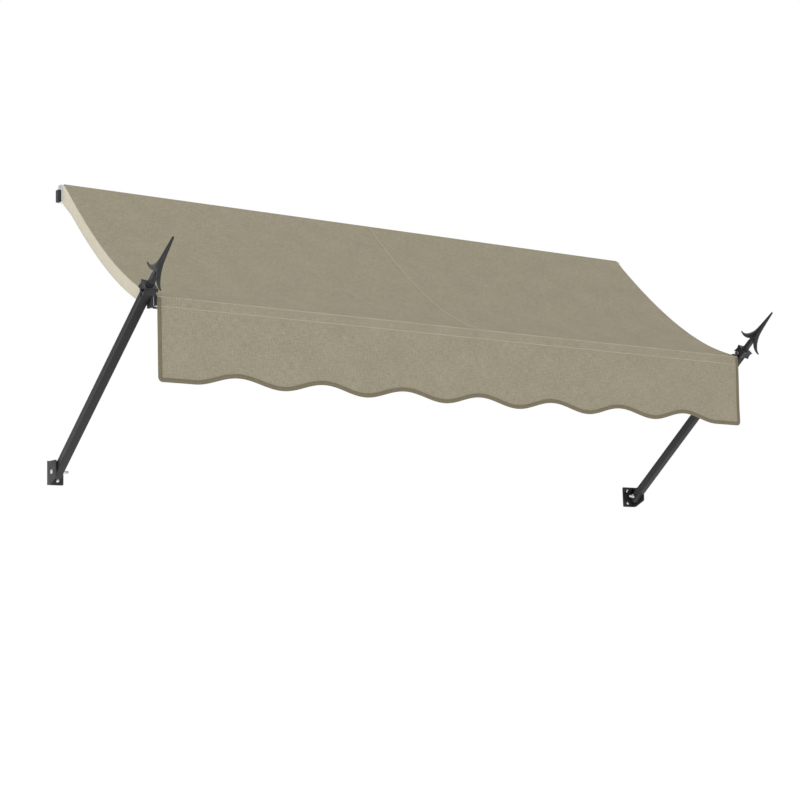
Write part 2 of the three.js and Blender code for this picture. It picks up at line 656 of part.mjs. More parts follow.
function addBrackets() {
  const { plate, height, flange, washer } = BRACKET;
  const armFace = ARM_X + TUBE / 2;
  const outer = armFace + washer + plate;
  const screwX = outer - flange + WALL_SCREW.inset;
  const seat = plate + GAP;
  const screw = join(
    rodAlongY(WALL_SCREW.radius, -seat - 1, 0, 10),
    rodAlongY(WALL_SCREW.headRadius, -seat - WALL_SCREW.headHeight, -seat, 16),
  );
  for (const { name, sign } of SIDES) {
    const foot = roundedRectangle(...span(sign, outer - flange, outer), -height / 2, height / 2, 4);
    const ear = alongX(earOutline(), ...span(sign, outer - plate, outer));
    const screwHoles = [-1, 1].map((side) => rodAlongY(WALL_SCREW.radius + GAP, -plate - 1, 1)
      .translate(sign * screwX, 0, side * WALL_SCREW.spread));
    const pivotHole = rodAlongX(PIVOT_BOLT.radius + GAP, ...span(sign, armFace, outer + 2))
      .translate(0, -PIVOT_OUT, 0);
    const bracket = cut(join(outFromWall(foot, 0, plate), ear), ...screwHoles, pivotHole);
    place(`wall_bracket_${name}`, bracket, BLACK_CAST, [0, 0, PIVOT_Z]);

    for (const [side, label] of [[1, 'upper'], [-1, 'lower']]) {
      const position = [sign * screwX, 0, PIVOT_Z + side * WALL_SCREW.spread];
      place(`bracket_screw_${name}_${label}`, screw.clone(), ZINC, position);
    }

    const { radius, head, headHeight, nutHeight, washerRadius } = PIVOT_BOLT;
    const pivot = [0, -PIVOT_OUT, PIVOT_Z];
    const headSeat = outer + GAP;
    const bolt = join(
      rodAlongX(radius, ...span(sign, ARM_X - BOLT_TAIL, headSeat + 0.5)),
      alongX(hexagon(head), ...span(sign, headSeat, headSeat + headHeight)),
    );
    place(`pivot_bolt_${name}`, bolt, ZINC, pivot);
    const nut = cut(
      alongX(hexagon(head), ...span(sign, ARM_INNER - GAP - nutHeight, ARM_INNER - GAP)),
      rodAlongX(radius + GAP, ...span(sign, ARM_INNER - 2 * nutHeight, ARM_INNER)),
    );
    place(`pivot_nut_${name}`, nut, ZINC, pivot);
    const shim = cut(
      rodAlongX(washerRadius, ...span(sign, armFace + GAP, armFace + washer - GAP), 24),
      rodAlongX(radius + GAP, ...span(sign, ARM_X, outer)),
    );
    place(`pivot_washer_${name}`, shim, BLACK_PLASTIC, pivot);
  }
}

addTrack();
addCover();
addRibs();
addFrontBar();
addArms();
addBrackets();

export default awning;
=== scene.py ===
"""Dresses the fabric window awning: sewn canvas cover, powder-coated arms, cast spearheads and hardware.

Metres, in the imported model's frame: +X along the wall, the wall's face at y = 0 and +Z up, so the
awning stands out towards -Y. "Out" is the distance from the wall, -y.
"""

import json
import logging
import math
import random
from dataclasses import dataclass, field
from enum import Enum
from typing import Callable, Iterable, Sequence

import bmesh
import bpy
from mathutils import Matrix, Vector, noise
from mathutils.geometry import interpolate_bezier
from mathutils.kdtree import KDTree


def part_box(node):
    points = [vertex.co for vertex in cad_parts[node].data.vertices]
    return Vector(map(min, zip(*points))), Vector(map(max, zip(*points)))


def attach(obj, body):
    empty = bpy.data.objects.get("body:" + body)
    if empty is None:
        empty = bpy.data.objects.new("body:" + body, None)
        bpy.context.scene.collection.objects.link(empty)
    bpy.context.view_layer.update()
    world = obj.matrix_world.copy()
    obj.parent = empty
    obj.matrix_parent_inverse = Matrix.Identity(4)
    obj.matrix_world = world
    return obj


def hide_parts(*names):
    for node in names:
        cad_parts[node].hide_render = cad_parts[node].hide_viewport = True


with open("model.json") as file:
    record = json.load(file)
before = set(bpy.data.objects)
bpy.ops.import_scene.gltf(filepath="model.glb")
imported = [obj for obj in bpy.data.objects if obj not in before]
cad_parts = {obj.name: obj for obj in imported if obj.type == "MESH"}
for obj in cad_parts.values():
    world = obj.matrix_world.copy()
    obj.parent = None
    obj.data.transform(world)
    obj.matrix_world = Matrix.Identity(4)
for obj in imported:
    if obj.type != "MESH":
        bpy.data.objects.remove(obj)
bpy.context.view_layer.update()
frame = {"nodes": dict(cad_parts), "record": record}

LOG = logging.getLogger("awning")
MM = 0.001
SIDES = {"left": -1, "right": 1}
ROOT = "root"
FLAT_ANGLE = math.radians(1.2)  # faces that meet at less than this are one flat face


class Slot(Enum):
    """Material slots of the record."""

    TAUPE = "taupe_canvas"
    PAINTED_LIT_CANVAS = "cream_canvas"
    BRAID = "binding_braid"
    COAT = "black_powder_coat"
    CASTING = "black_casting"
    ALUMINIUM = "mill_aluminium"
    ZINC = "zinc_plate"
    PLASTIC = "black_plastic"


def linear(red: float, green: float, blue: float) -> tuple[float, float, float]:
    """Turns a display colour into a scene-linear one.

    Args:
        red, green, blue: display values from 0 to 255.

    Returns:
        The linear colour.
    """

    def channel(value: float) -> float:
        """One channel of the sRGB curve."""
        share = value / 255
        return share / 12.92 if share <= 0.04045 else ((share + 0.055) / 1.055) ** 2.4

    return channel(red), channel(green), channel(blue)


def spaced(start: float, end: float, step: float) -> list[float]:
    """Evenly spaced values from start to end, both included, about a step apart."""
    count = max(1, round(abs(end - start) / step))
    return [start + (end - start) * k / count for k in range(count + 1)]


def smooth_step(value: float) -> float:
    """Eases a share from 0 to 1."""
    share = min(1.0, max(0.0, value))
    return share * share * (3 - 2 * share)


# ------------------------------------------------------------------ shader helpers
class Nodes:
    """A small builder over one node tree."""

    def __init__(self, tree: bpy.types.NodeTree) -> None:
        """Keeps the tree that the nodes go into."""
        self.tree = tree

    def add(self, kind: str, **settings: object) -> bpy.types.Node:
        """Adds a node and sets its properties.

        Args:
            kind: the node's type name.
            settings: properties of the node, such as operation="ADD".

        Returns:
            The new node.
        """
        node = self.tree.nodes.new(kind)
        for name, value in settings.items():
            setattr(node, name, value)
        return node

    def feed(self, socket: bpy.types.NodeSocket, value: object) -> None:
        """Links an output to a socket, or sets the socket to a constant."""
        if isinstance(value, bpy.types.NodeSocket):
            self.tree.links.new(value, socket)
        else:
            socket.default_value = value

    def math(self, operation: str, *values: object) -> bpy.types.NodeSocket:
        """Adds a math node and returns its output."""
        node = self.add("ShaderNodeMath", operation=operation)
        for socket, value in zip(node.inputs, values):
            self.feed(socket, value)
        return node.outputs[0]

    def blend(self, factor: object, low: object, high: object) -> bpy.types.NodeSocket:
        """Mixes two colours by a factor and returns the colour."""
        node = self.add("ShaderNodeMix", data_type="RGBA")
        self.feed(node.inputs["Factor"], factor)
        self.feed(node.inputs[6], (*low, 1) if isinstance(low, tuple) else low)
        self.feed(node.inputs[7], (*high, 1) if isinstance(high, tuple) else high)
        return node.outputs[2]

    def noise(self, vector: object, scale: float, detail: float = 2.0) -> bpy.types.NodeSocket:
        """Adds a noise texture and returns its value."""
        node = self.add("ShaderNodeTexNoise")
        self.feed(node.inputs["Vector"], vector)
        node.inputs["Scale"].default_value = scale
        node.inputs["Detail"].default_value = detail
        return node.outputs[0]

    def stretched(self, vector: object, scale: tuple[float, float, float]) -> bpy.types.NodeSocket:
        """Scales a vector by fixed factors and returns it."""
        node = self.add("ShaderNodeMapping")
        self.feed(node.inputs["Vector"], vector)
        node.inputs["Scale"].default_value = scale
        return node.outputs[0]

    def span(self, value: object, low: float, high: float, to_low: float = 0.0,
             to_high: float = 1.0) -> bpy.types.NodeSocket:
        """Maps a value's range on to another, clamped, and returns it."""
        node = self.add("ShaderNodeMapRange")
        self.feed(node.inputs["Value"], value)
        for name, number in zip(("From Min", "From Max", "To Min", "To Max"), (low, high, to_low, to_high)):
            node.inputs[name].default_value = number
        return node.outputs[0]


@dataclass(frozen=True)
class GroupSocket:
    """One named socket of a shader node group."""

    name: str
    kind: str
    output: bool = False
    value: object = None


def new_group(name: str, sockets: Iterable[GroupSocket]) -> tuple[bpy.types.NodeTree, Nodes, dict]:
    """Starts a shader node group.

    Args:
        name: the group's name.
        sockets: its inputs and outputs.

    Returns:
        The group, a node builder for it, and its inputs and outputs by name.
    """
    group = bpy.data.node_groups.new(name, "ShaderNodeTree")
    for socket in sockets:
        side = "OUTPUT" if socket.output else "INPUT"
        made = group.interface.new_socket(name=socket.name, in_out=side, socket_type=socket.kind)
        if socket.value is not None:
            made.default_value = socket.value
    nodes = Nodes(group)
    inside = nodes.add("NodeGroupInput")
    outside = nodes.add("NodeGroupOutput")
    return group, nodes, {"in": inside.outputs, "out": outside.inputs}


def weave_group() -> bpy.types.NodeTree:
    """Plain weave of thick and thin heathered yarns, on a vector in metres.

    Returns:
        A group with outputs Height, Yarn (shade of each yarn) and Mottle (slow drift of shade).
    """
    group, nodes, ends = new_group("plain_weave", [
        GroupSocket("Vector", "NodeSocketVector"),
        GroupSocket("Pitch", "NodeSocketFloat", value=0.001),
        GroupSocket("Height", "NodeSocketFloat", output=True),
        GroupSocket("Yarn", "NodeSocketFloat", output=True),
        GroupSocket("Mottle", "NodeSocketFloat", output=True),
    ])
    counts = nodes.add("ShaderNodeVectorMath", operation="DIVIDE")
    nodes.feed(counts.inputs[0], ends["in"]["Vector"])
    pitch = nodes.add("ShaderNodeCombineXYZ")
    for axis in range(3):
        nodes.feed(pitch.inputs[axis], ends["in"]["Pitch"])
    nodes.feed(counts.inputs[1], pitch.outputs[0])
    split = nodes.add("ShaderNodeSeparateXYZ")
    nodes.feed(split.inputs[0], counts.outputs[0])

    across = nodes.math("SINE", nodes.math("MULTIPLY", split.outputs[0], math.pi))
    along = nodes.math("SINE", nodes.math("MULTIPLY", split.outputs[1], math.pi))
    warp_round = nodes.math("ABSOLUTE", across)
    weft_round = nodes.math("ABSOLUTE", along)
    warp_up = nodes.math("GREATER_THAN", nodes.math("MULTIPLY", across, along), 0.0)
    weft_up = nodes.math("SUBTRACT", 1.0, warp_up)
    crown = nodes.math("MULTIPLY", warp_round, weft_round)
    warp_height = nodes.math("MULTIPLY", warp_up, nodes.math("POWER", warp_round, 0.6))
    weft_height = nodes.math("MULTIPLY", weft_up, nodes.math("POWER", weft_round, 0.6))
    height = nodes.math("ADD", warp_height, weft_height)
    nodes.feed(ends["out"]["Height"], nodes.math("MULTIPLY", height, nodes.math("POWER", crown, 0.3)))

    run = 0.045
    warp = nodes.noise(nodes.stretched(counts.outputs[0], (0.55, run, 1)), 1.0, 3.0)
    weft = nodes.noise(nodes.stretched(counts.outputs[0], (run, 0.55, 1)), 1.0, 3.0)
    warp_shade = nodes.math("MULTIPLY", warp_up, nodes.span(warp, 0.3, 0.7))
    weft_shade = nodes.math("MULTIPLY", weft_up, nodes.span(weft, 0.3, 0.7))
    nodes.feed(ends["out"]["Yarn"], nodes.math("ADD", warp_shade, weft_shade))

    slubs = nodes.noise(nodes.stretched(counts.outputs[0], (0.3, 0.14, 1)), 1.0, 3.0)
    cloud = nodes.noise(nodes.stretched(counts.outputs[0], (0.012, 0.012, 1)), 1.0, 2.0)
    both = nodes.math("ADD", nodes.math("MULTIPLY", slubs, 0.75), nodes.math("MULTIPLY", cloud, 0.25))
    nodes.feed(ends["out"]["Mottle"], nodes.span(both, 0.36, 0.64))
    return group


def grain_group() -> bpy.types.NodeTree:
    """Skin of a painted or moulded surface: dimples, fine orange peel and slow patches.

    Returns:
        A group with outputs Height, Patch and Specks.
    """
    group, nodes, ends = new_group("surface_grain", [
        GroupSocket("Vector", "NodeSocketVector"),
        GroupSocket("Size", "NodeSocketFloat", value=0.003),
        GroupSocket("Height", "NodeSocketFloat", output=True),
        GroupSocket("Patch", "NodeSocketFloat", output=True),
        GroupSocket("Specks", "NodeSocketFloat", output=True),
    ])
    scaled = nodes.add("ShaderNodeVectorMath", operation="SCALE")
    nodes.feed(scaled.inputs[0], ends["in"]["Vector"])
    nodes.feed(scaled.inputs["Scale"], nodes.math("DIVIDE", 1.0, ends["in"]["Size"]))
    dimples = nodes.add("ShaderNodeTexVoronoi", feature="SMOOTH_F1")
    nodes.feed(dimples.inputs["Vector"], scaled.outputs[0])
    dimples.inputs["Scale"].default_value = 1.0
    peel = nodes.noise(scaled.outputs[0], 3.1, 3.0)
    rough = nodes.math("MULTIPLY", nodes.math("POWER", dimples.outputs["Distance"], 1.5), 0.7)
    nodes.feed(ends["out"]["Height"], nodes.math("ADD", rough, nodes.math("MULTIPLY", peel, 0.3)))
    nodes.feed(ends["out"]["Patch"], nodes.span(nodes.noise(scaled.outputs[0], 0.09, 3.0), 0.35, 0.65))
    nodes.feed(ends["out"]["Specks"], nodes.span(nodes.noise(scaled.outputs[0], 1.3, 4.0), 0.62, 0.74))
    return group


def brushed_group() -> bpy.types.NodeTree:
    """Fine drawn lines along X, as a die leaves on an extrusion.

    Returns:
        A group with outputs Lines and Patch.
    """
    group, nodes, ends = new_group("drawn_lines", [
        GroupSocket("Vector", "NodeSocketVector"),
        GroupSocket("Lines", "NodeSocketFloat", output=True),
        GroupSocket("Patch", "NodeSocketFloat", output=True),
    ])
    lines = nodes.noise(nodes.stretched(ends["in"]["Vector"], (6, 2600, 2600)), 1.0, 2.0)
    nodes.feed(ends["out"]["Lines"], nodes.span(lines, 0.3, 0.7))
    nodes.feed(ends["out"]["Patch"], nodes.span(nodes.noise(ends["in"]["Vector"], 9.0, 3.0), 0.35, 0.65))
    return group


GROUPS = {"weave": weave_group(), "grain": grain_group(), "brushed": brushed_group()}


def place_group(nodes: Nodes, name: str, vector: object, **inputs: float) -> bpy.types.Node:
    """Places a shared group in a material.

    Args:
        nodes: the material's node builder.
        name: the group's key in GROUPS.
        vector: the vector that the group reads.
        inputs: the group's other inputs.

    Returns:
        The group's node.
    """
    node = nodes.add("ShaderNodeGroup", node_tree=GROUPS[name])
    nodes.feed(node.inputs["Vector"], vector)
    for key, value in inputs.items():
        node.inputs[key].default_value = value
    return node


# ------------------------------------------------------------------ finishes
@dataclass(frozen=True)
class Finish:
    """What every finish shares: its name, its record slot and how a material is begun."""

    name: str
    slot: Slot

    def begin(self) -> tuple[bpy.types.Material, Nodes, bpy.types.Node, bpy.types.Node]:
        """Starts a node material.

        Returns:
            The material, its node builder, its Principled shader and its coordinates node.
        """
        material = bpy.data.materials.new(self.name)
        material.use_nodes = True
        material.node_tree.nodes.clear()
        nodes = Nodes(material.node_tree)
        shader = nodes.add("ShaderNodeBsdfPrincipled")
        output = nodes.add("ShaderNodeOutputMaterial")
        nodes.feed(output.inputs["Surface"], shader.outputs[0])
        return material, nodes, shader, nodes.add("ShaderNodeTexCoord")

    def bump(self, nodes: Nodes, shader: bpy.types.Node, height: object, depth: float) -> None:
        """Feeds the shader's normal from a height of that many metres at full strength."""
        bump = nodes.add("ShaderNodeBump")
        bump.inputs["Distance"].default_value = depth
        bump.inputs["Strength"].default_value = 1.0
        nodes.feed(bump.inputs["Height"], height)
        nodes.feed(shader.inputs["Normal"], bump.outputs[0])

    def material(self) -> bpy.types.Material:
        """Builds the material. Each finish has its own."""
        raise NotImplementedError


@dataclass(frozen=True)
class Canvas(Finish):
    """Woven outdoor canvas whose pattern follows the cloth's own UV map, in metres."""

    dark: tuple[float, float, float]
    middle: tuple[float, float, float]
    light: tuple[float, float, float]
    pitch: float = 1.1 * MM
    depth: float = 0.16 * MM
    mottle: float = 0.5
    shade_swing: float = 0.12

    def material(self) -> bpy.types.Material:
        """Builds the canvas: yarn shades, slow mottle and the weave's relief."""
        material, nodes, shader, place = self.begin()
        weave = place_group(nodes, "weave", place.outputs["UV"], Pitch=self.pitch)
        yarns = nodes.blend(weave.outputs["Yarn"], self.dark, self.light)
        calm = nodes.blend(0.45, yarns, self.middle)
        swing = self.mottle * self.shade_swing
        shade = nodes.span(weave.outputs["Mottle"], 0.0, 1.0, 1 - swing, 1 + swing)
        tinted = nodes.add("ShaderNodeVectorMath", operation="SCALE")
        nodes.feed(tinted.inputs[0], calm)
        nodes.feed(tinted.inputs["Scale"], shade)
        nodes.feed(shader.inputs["Base Color"], tinted.outputs[0])
        nodes.feed(shader.inputs["Roughness"], nodes.span(weave.outputs["Yarn"], 0, 1, 0.86, 0.96))
        shader.inputs["Specular IOR Level"].default_value = 0.05
        self.bump(nodes, shader, weave.outputs["Height"], self.depth)
        return material


@dataclass(frozen=True)
class Painted(Finish):
    """Satin black coating: powder coat on tube, or paint over a casting's dimpled skin."""

    colour: tuple[float, float, float]
    worn: tuple[float, float, float]
    grain: float
    depth: float
    roughness: tuple[float, float] = (0.42, 0.58)
    specular: float = 0.28

    def material(self) -> bpy.types.Material:
        """Builds the coating: slow patches, pale specks and the grain's relief."""
        material, nodes, shader, place = self.begin()
        grain = place_group(nodes, "grain", place.outputs["Object"], Size=self.grain)
        patchy = nodes.blend(nodes.math("MULTIPLY", grain.outputs["Patch"], 0.35), self.colour, self.worn)
        specked = nodes.blend(nodes.math("MULTIPLY", grain.outputs["Specks"], 0.3), patchy, self.worn)
        nodes.feed(shader.inputs["Base Color"], specked)
        low, high = self.roughness
        nodes.feed(shader.inputs["Roughness"], nodes.span(grain.outputs["Patch"], 0, 1, low, high))
        shader.inputs["Specular IOR Level"].default_value = self.specular
        self.bump(nodes, shader, grain.outputs["Height"], self.depth)
        return material


@dataclass(frozen=True)
class BareMetal(Finish):
    """Aluminium or zinc plate with drawn lines and slow patches."""

    colour: tuple[float, float, float]
    dull: tuple[float, float, float]
    roughness: tuple[float, float]
    depth: float = 0.01 * MM

    def material(self) -> bpy.types.Material:
        """Builds the metal: dull patches, drawn lines and uneven gloss."""
        material, nodes, shader, place = self.begin()
        lines = place_group(nodes, "brushed", place.outputs["Object"])
        nodes.feed(shader.inputs["Base Color"], nodes.blend(lines.outputs["Patch"], self.colour, self.dull))
        low, high = self.roughness
        nodes.feed(shader.inputs["Roughness"], nodes.span(lines.outputs["Lines"], 0, 1, low, high))
        shader.inputs["Metallic"].default_value = 1.0
        self.bump(nodes, shader, lines.outputs["Lines"], self.depth)
        return material


@dataclass(frozen=True)
class Thread(Finish):
    """Sewing thread, twisted from two plies."""

    colour: tuple[float, float, float]
    shadow: tuple[float, float, float]

    def material(self) -> bpy.types.Material:
        """Builds the thread: slanting plies and a soft sheen."""
        material, nodes, shader, place = self.begin()
        plies = nodes.noise(nodes.stretched(place.outputs["Object"], (900, 1400, 1400)), 1.0, 1.0)
        nodes.feed(shader.inputs["Base Color"], nodes.blend(plies, self.shadow, self.colour))
        shader.inputs["Roughness"].default_value = 0.7
        shader.inputs["Sheen Weight"].default_value = 0.2
        self.bump(nodes, shader, plies, 0.05 * MM)
        return material


TAUPE = Canvas(
    "taupe_canvas", Slot.TAUPE, dark=linear(124, 117, 98), middle=linear(153, 146, 126),
    light=linear(180, 173, 153), mottle=0.8,
)
# Painted light: the side sleeves are the same taupe canvas as the cover, and these cream tones are that
# canvas's brightness under strong light from the left, painted into its colour.
PAINTED_LIT_CANVAS = Canvas(
    "cream_canvas", Slot.PAINTED_LIT_CANVAS, dark=linear(195, 187, 167), middle=linear(211, 204, 185),
    light=linear(226, 219, 202), pitch=1.2 * MM, mottle=0.3,
)
BRAID = Canvas(
    "binding_braid", Slot.BRAID, dark=linear(104, 96, 78), middle=linear(126, 118, 98),
    light=linear(146, 138, 117), pitch=0.8 * MM, depth=0.22 * MM, mottle=0.5,
)
COAT = Painted(
    "black_powder_coat", Slot.COAT, colour=linear(34, 34, 35), worn=linear(47, 47, 49),
    grain=1.3 * MM, depth=0.03 * MM, roughness=(0.4, 0.5),
)
CASTING = Painted(
    "black_casting", Slot.CASTING, colour=linear(24, 25, 27), worn=linear(58, 59, 62),
    grain=3.4 * MM, depth=0.8 * MM, roughness=(0.3, 0.5), specular=0.42,
)
PLASTIC = Painted(
    "black_plastic", Slot.PLASTIC, colour=linear(42, 42, 45), worn=linear(58, 58, 61),
    grain=0.8 * MM, depth=0.02 * MM, roughness=(0.45, 0.6),
)
ALUMINIUM = BareMetal(
    "mill_aluminium", Slot.ALUMINIUM, colour=linear(222, 224, 226), dull=linear(200, 202, 205),
    roughness=(0.28, 0.42),
)
ZINC = BareMetal(
    "zinc_plate", Slot.ZINC, colour=linear(230, 231, 234), dull=linear(205, 207, 212),
    roughness=(0.16, 0.3),
)
LIGHT_THREAD = Thread(
    "beige_thread", Slot.PAINTED_LIT_CANVAS, colour=linear(236, 230, 211), shadow=linear(205, 198, 176),
)
DARK_THREAD = Thread(
    "matching_thread", Slot.BRAID, colour=linear(118, 110, 92), shadow=linear(92, 85, 70),
)

FINISHES = (TAUPE, PAINTED_LIT_CANVAS, BRAID, COAT, CASTING, PLASTIC, ALUMINIUM, ZINC, LIGHT_THREAD, DARK_THREAD)
MATERIALS = {finish.name: finish.material() for finish in FINISHES}


# ------------------------------------------------------------------ mesh helpers
def finish_piece(name: str, mesh: bpy.types.Mesh, finish: Finish, *nodes: str) -> bpy.types.Object:
    """Makes a mesh into a named piece on the root body.

    Args:
        name: the piece's name.
        mesh: its mesh, in place.
        finish: its finish.
        nodes: the CAD nodes that it stands for.

    Returns:
        The piece's object.
    """
    piece = bpy.data.objects.new(name, mesh)
    bpy.context.scene.collection.objects.link(piece)
    mesh.materials.clear()
    mesh.materials.append(MATERIALS[finish.name])
    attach(piece, ROOT)
    if nodes:
        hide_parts(*nodes)
    LOG.info("%s: %d faces", name, len(mesh.polygons))
    return piece


def mesh_of(shape: bmesh.types.BMesh, name: str, sharp: float = 40.0) -> bpy.types.Mesh:
    """Writes a bmesh to a mesh, smooth shaded with sharp edges above an angle in degrees."""
    for face in shape.faces:
        face.smooth = True
    limit = math.radians(sharp)
    for edge in shape.edges:
        edge.smooth = len(edge.link_faces) == 2 and edge.calc_face_angle(0) < limit
    mesh = bpy.data.meshes.new(name)
    shape.to_mesh(mesh)
    shape.free()
    return mesh


def thicken(piece: bpy.types.Object, thickness: float, offset: float = 0.0) -> None:
    """Gives a sheet its thickness, closed round its rim."""
    modifier = piece.modifiers.new("thickness", "SOLIDIFY")
    modifier.thickness = thickness
    modifier.offset = offset
    modifier.use_even_offset = True


def gather(*shapes: bmesh.types.BMesh) -> bmesh.types.BMesh:
    """Turns the faces of closed shapes outwards and gathers the shapes into one, freeing them."""
    whole = bmesh.new()
    for shape in shapes:
        bmesh.ops.recalc_face_normals(shape, faces=shape.faces)
        scratch = bpy.data.meshes.new("scratch")
        shape.to_mesh(scratch)
        shape.free()
        whole.from_mesh(scratch)
        bpy.data.meshes.remove(scratch)
    return whole


def scratch_object(shape: bmesh.types.BMesh) -> bpy.types.Object:
    """Puts a shape in the scene for modifiers to work on, and frees it."""
    mesh = bpy.data.meshes.new("scratch")
    shape.to_mesh(mesh)
    shape.free()
    holder = bpy.data.objects.new("scratch", mesh)
    bpy.context.scene.collection.objects.link(holder)
    return holder


def cut_away(body: bpy.types.Object, tool: bpy.types.Object, use_self: bool = False) -> bmesh.types.BMesh:
    """Cuts one scratch object from another.

    Args:
        body: the object to cut, with any modifiers that come before the cut.
        tool: the object whose volume is taken away.
        use_self: whether the tool's own parts may cross each other.

    Returns:
        The cut shape. Both scratch objects are removed.
    """
    cut = body.modifiers.new("cut", "BOOLEAN")
    cut.operation = "DIFFERENCE"
    cut.solver = "EXACT"
    cut.use_self = use_self
    cut.object = tool
    graph = bpy.context.evaluated_depsgraph_get()
    result = bpy.data.meshes.new_from_object(body.evaluated_get(graph))
    for stale in (body, tool):
        bpy.data.objects.remove(stale)
    shape = bmesh.new()
    shape.from_mesh(result)
    bpy.data.meshes.remove(result)
    return shape


def sheet_mesh(
    name: str,
    columns: Sequence[float],
    rows: Sequence[float],
    place: Callable[[float, float], Vector],
    cloth: Callable[[float, float], tuple[float, float]],
    closed_rows: bool = False,
) -> bpy.types.Mesh:
    """Bends a flat grid into a sheet.

    Args:
        name: the mesh's name.
        columns: the values that run across the grid.
        rows: the values that run along it.
        place: gives the point of a column's and a row's value.
        cloth: gives the UV of a column's and a row's value, in metres on the flat cloth.
        closed_rows: whether the last row meets the first, as round a tube.

    Returns:
        The mesh, with a UV map.
    """
    shape = bmesh.new()
    bmesh.ops.create_grid(shape, x_segments=len(columns) - 1, y_segments=len(rows) - 1, size=1.0)
    uv_layer = shape.loops.layers.uv.new("cloth")
    flat = {}
    for vertex in shape.verts:
        column = columns[round((vertex.co.x + 1) / 2 * (len(columns) - 1))]
        row = rows[round((vertex.co.y + 1) / 2 * (len(rows) - 1))]
        flat[vertex.index] = cloth(column, row)
        vertex.co = place(column, row)
    for face in shape.faces:
        for loop in face.loops:
            loop[uv_layer].uv = flat[loop.vert.index]
    if closed_rows:
        bmesh.ops.remove_doubles(shape, verts=shape.verts, dist=1e-6)
    return mesh_of(shape, name, sharp=75.0)


def softened_copy(node: str, name: str, finish: Finish, bevel: float = 0.6 * MM,
                  segments: int = 2, sharp: float = 28.0) -> bpy.types.Object:
    """Stands a copy of a CAD node in for it, with its hard edges rounded.

    Args:
        node: the CAD node.
        name: the new piece's name.
        finish: its finish.
        bevel: the rounding's width in metres.
        segments: the rounding's steps.
        sharp: edges above this angle, in degrees, are rounded.

    Returns:
        The new piece.
    """
    shape = bmesh.new()
    shape.from_mesh(frame["nodes"][node].data)
    bmesh.ops.remove_doubles(shape, verts=shape.verts, dist=2e-6)
    bmesh.ops.dissolve_limit(
        shape, angle_limit=FLAT_ANGLE, verts=shape.verts, edges=shape.edges,
        use_dissolve_boundaries=False,
    )
    hard = [e for e in shape.edges if len(e.link_faces) == 2 and e.calc_face_angle(0) > math.radians(sharp)]
    bmesh.ops.bevel(
        shape, geom=hard, offset=bevel, offset_type="OFFSET", segments=segments, profile=0.5,
        affect="EDGES", clamp_overlap=True, material=-1,
    )
    return finish_piece(name, mesh_of(shape, name, sharp=50.0), finish, node)


def centre_of(node: str) -> Vector:
    """Centre of a CAD node's box."""
    low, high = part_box(node)
    return (low + high) / 2


# ------------------------------------------------------------------ the sewn cover
@dataclass
class CoverCurve:
    """Section of the cover from the track's groove over the head, down to the front fold.

    The canopy's slope is a cubic curve whose four control heights stand at equal steps out.
    """

    head_out: float = 21.5 * MM
    head_z: float = 29.2 * MM
    front_out: float = 602.2 * MM
    drop: float = 450 * MM
    shares: tuple[float, float, float, float] = (0.0, 0.472, 0.856, 1.0)
    groove_out: float = 19.5 * MM
    tongue_z: float = 22.2 * MM
    fold_radius: float = 5.0 * MM
    samples: int = 400
    points: list[Vector] = field(default_factory=list)
    lengths: list[float] = field(default_factory=list)

    def __post_init__(self) -> None:
        """Lays out the section's points and their distances along the cloth."""
        canopy = [self.on_canopy(share) for share in spaced(0, 1, 1 / self.samples)]
        tongue_top = self.head_z - 1 * MM
        tongue = [Vector((-self.groove_out, z)) for z in spaced(self.tongue_z, tongue_top, 1 * MM)]
        front = [Vector((-self.front_out, self.head_z - self.drop - self.fold_radius * 3))]
        self.points = self.rounded([*tongue, *canopy, *front], len(tongue) + len(canopy) - 1)
        self.lengths = [0.0]
        for before, after in zip(self.points, self.points[1:]):
            self.lengths.append(self.lengths[-1] + (after - before).length)

    def on_canopy(self, share: float) -> Vector:
        """Point (y, z) at a share of the run out from the wall."""
        low, first, second, top = self.shares
        rest = 1 - share
        fallen = low * rest ** 3 + 3 * first * rest ** 2 * share
        fallen += 3 * second * rest * share ** 2 + top * share ** 3
        out = self.head_out + (self.front_out - self.head_out) * share
        return Vector((-out, self.head_z - self.drop * fallen))

    def rounded(self, points: list[Vector], corner: int) -> list[Vector]:
        """Rounds the front fold.

        Args:
            points: the section's points, with a sharp front fold.
            corner: the index of the fold's point.

        Returns:
            The points with an arc in the fold's place.
        """
        fold = points[corner]
        reach = self.fold_radius
        kept = [p for p in points[:corner] if (p - fold).length > reach]
        start = kept[-1]
        end = fold + Vector((0, -reach))
        arc = []
        for share in spaced(0.1, 1, 0.1):
            arc.append(start.lerp(fold, share).lerp(fold.lerp(end, share), share))
        return kept + arc

    @property
    def fold_length(self) -> float:
        """Cloth from the groove to the end of the front fold."""
        return self.lengths[-1]

    def at(self, length: float) -> tuple[Vector, Vector]:
        """Point and outward normal, both (y, z), at a distance along the cloth."""
        low, high = 1, len(self.lengths) - 1
        while low < high:
            middle = (low + high) // 2
            if self.lengths[middle] < length:
                low = middle + 1
            else:
                high = middle
        index = low
        before, after = self.points[index - 1], self.points[index]
        share = (length - self.lengths[index - 1]) / (self.lengths[index] - self.lengths[index - 1])
        ahead = self.points[min(index + 2, len(self.points) - 1)]
        behind = self.points[max(index - 3, 0)]
        run = (ahead - behind).normalized()
        return before.lerp(after, share), Vector((run.y, -run.x))


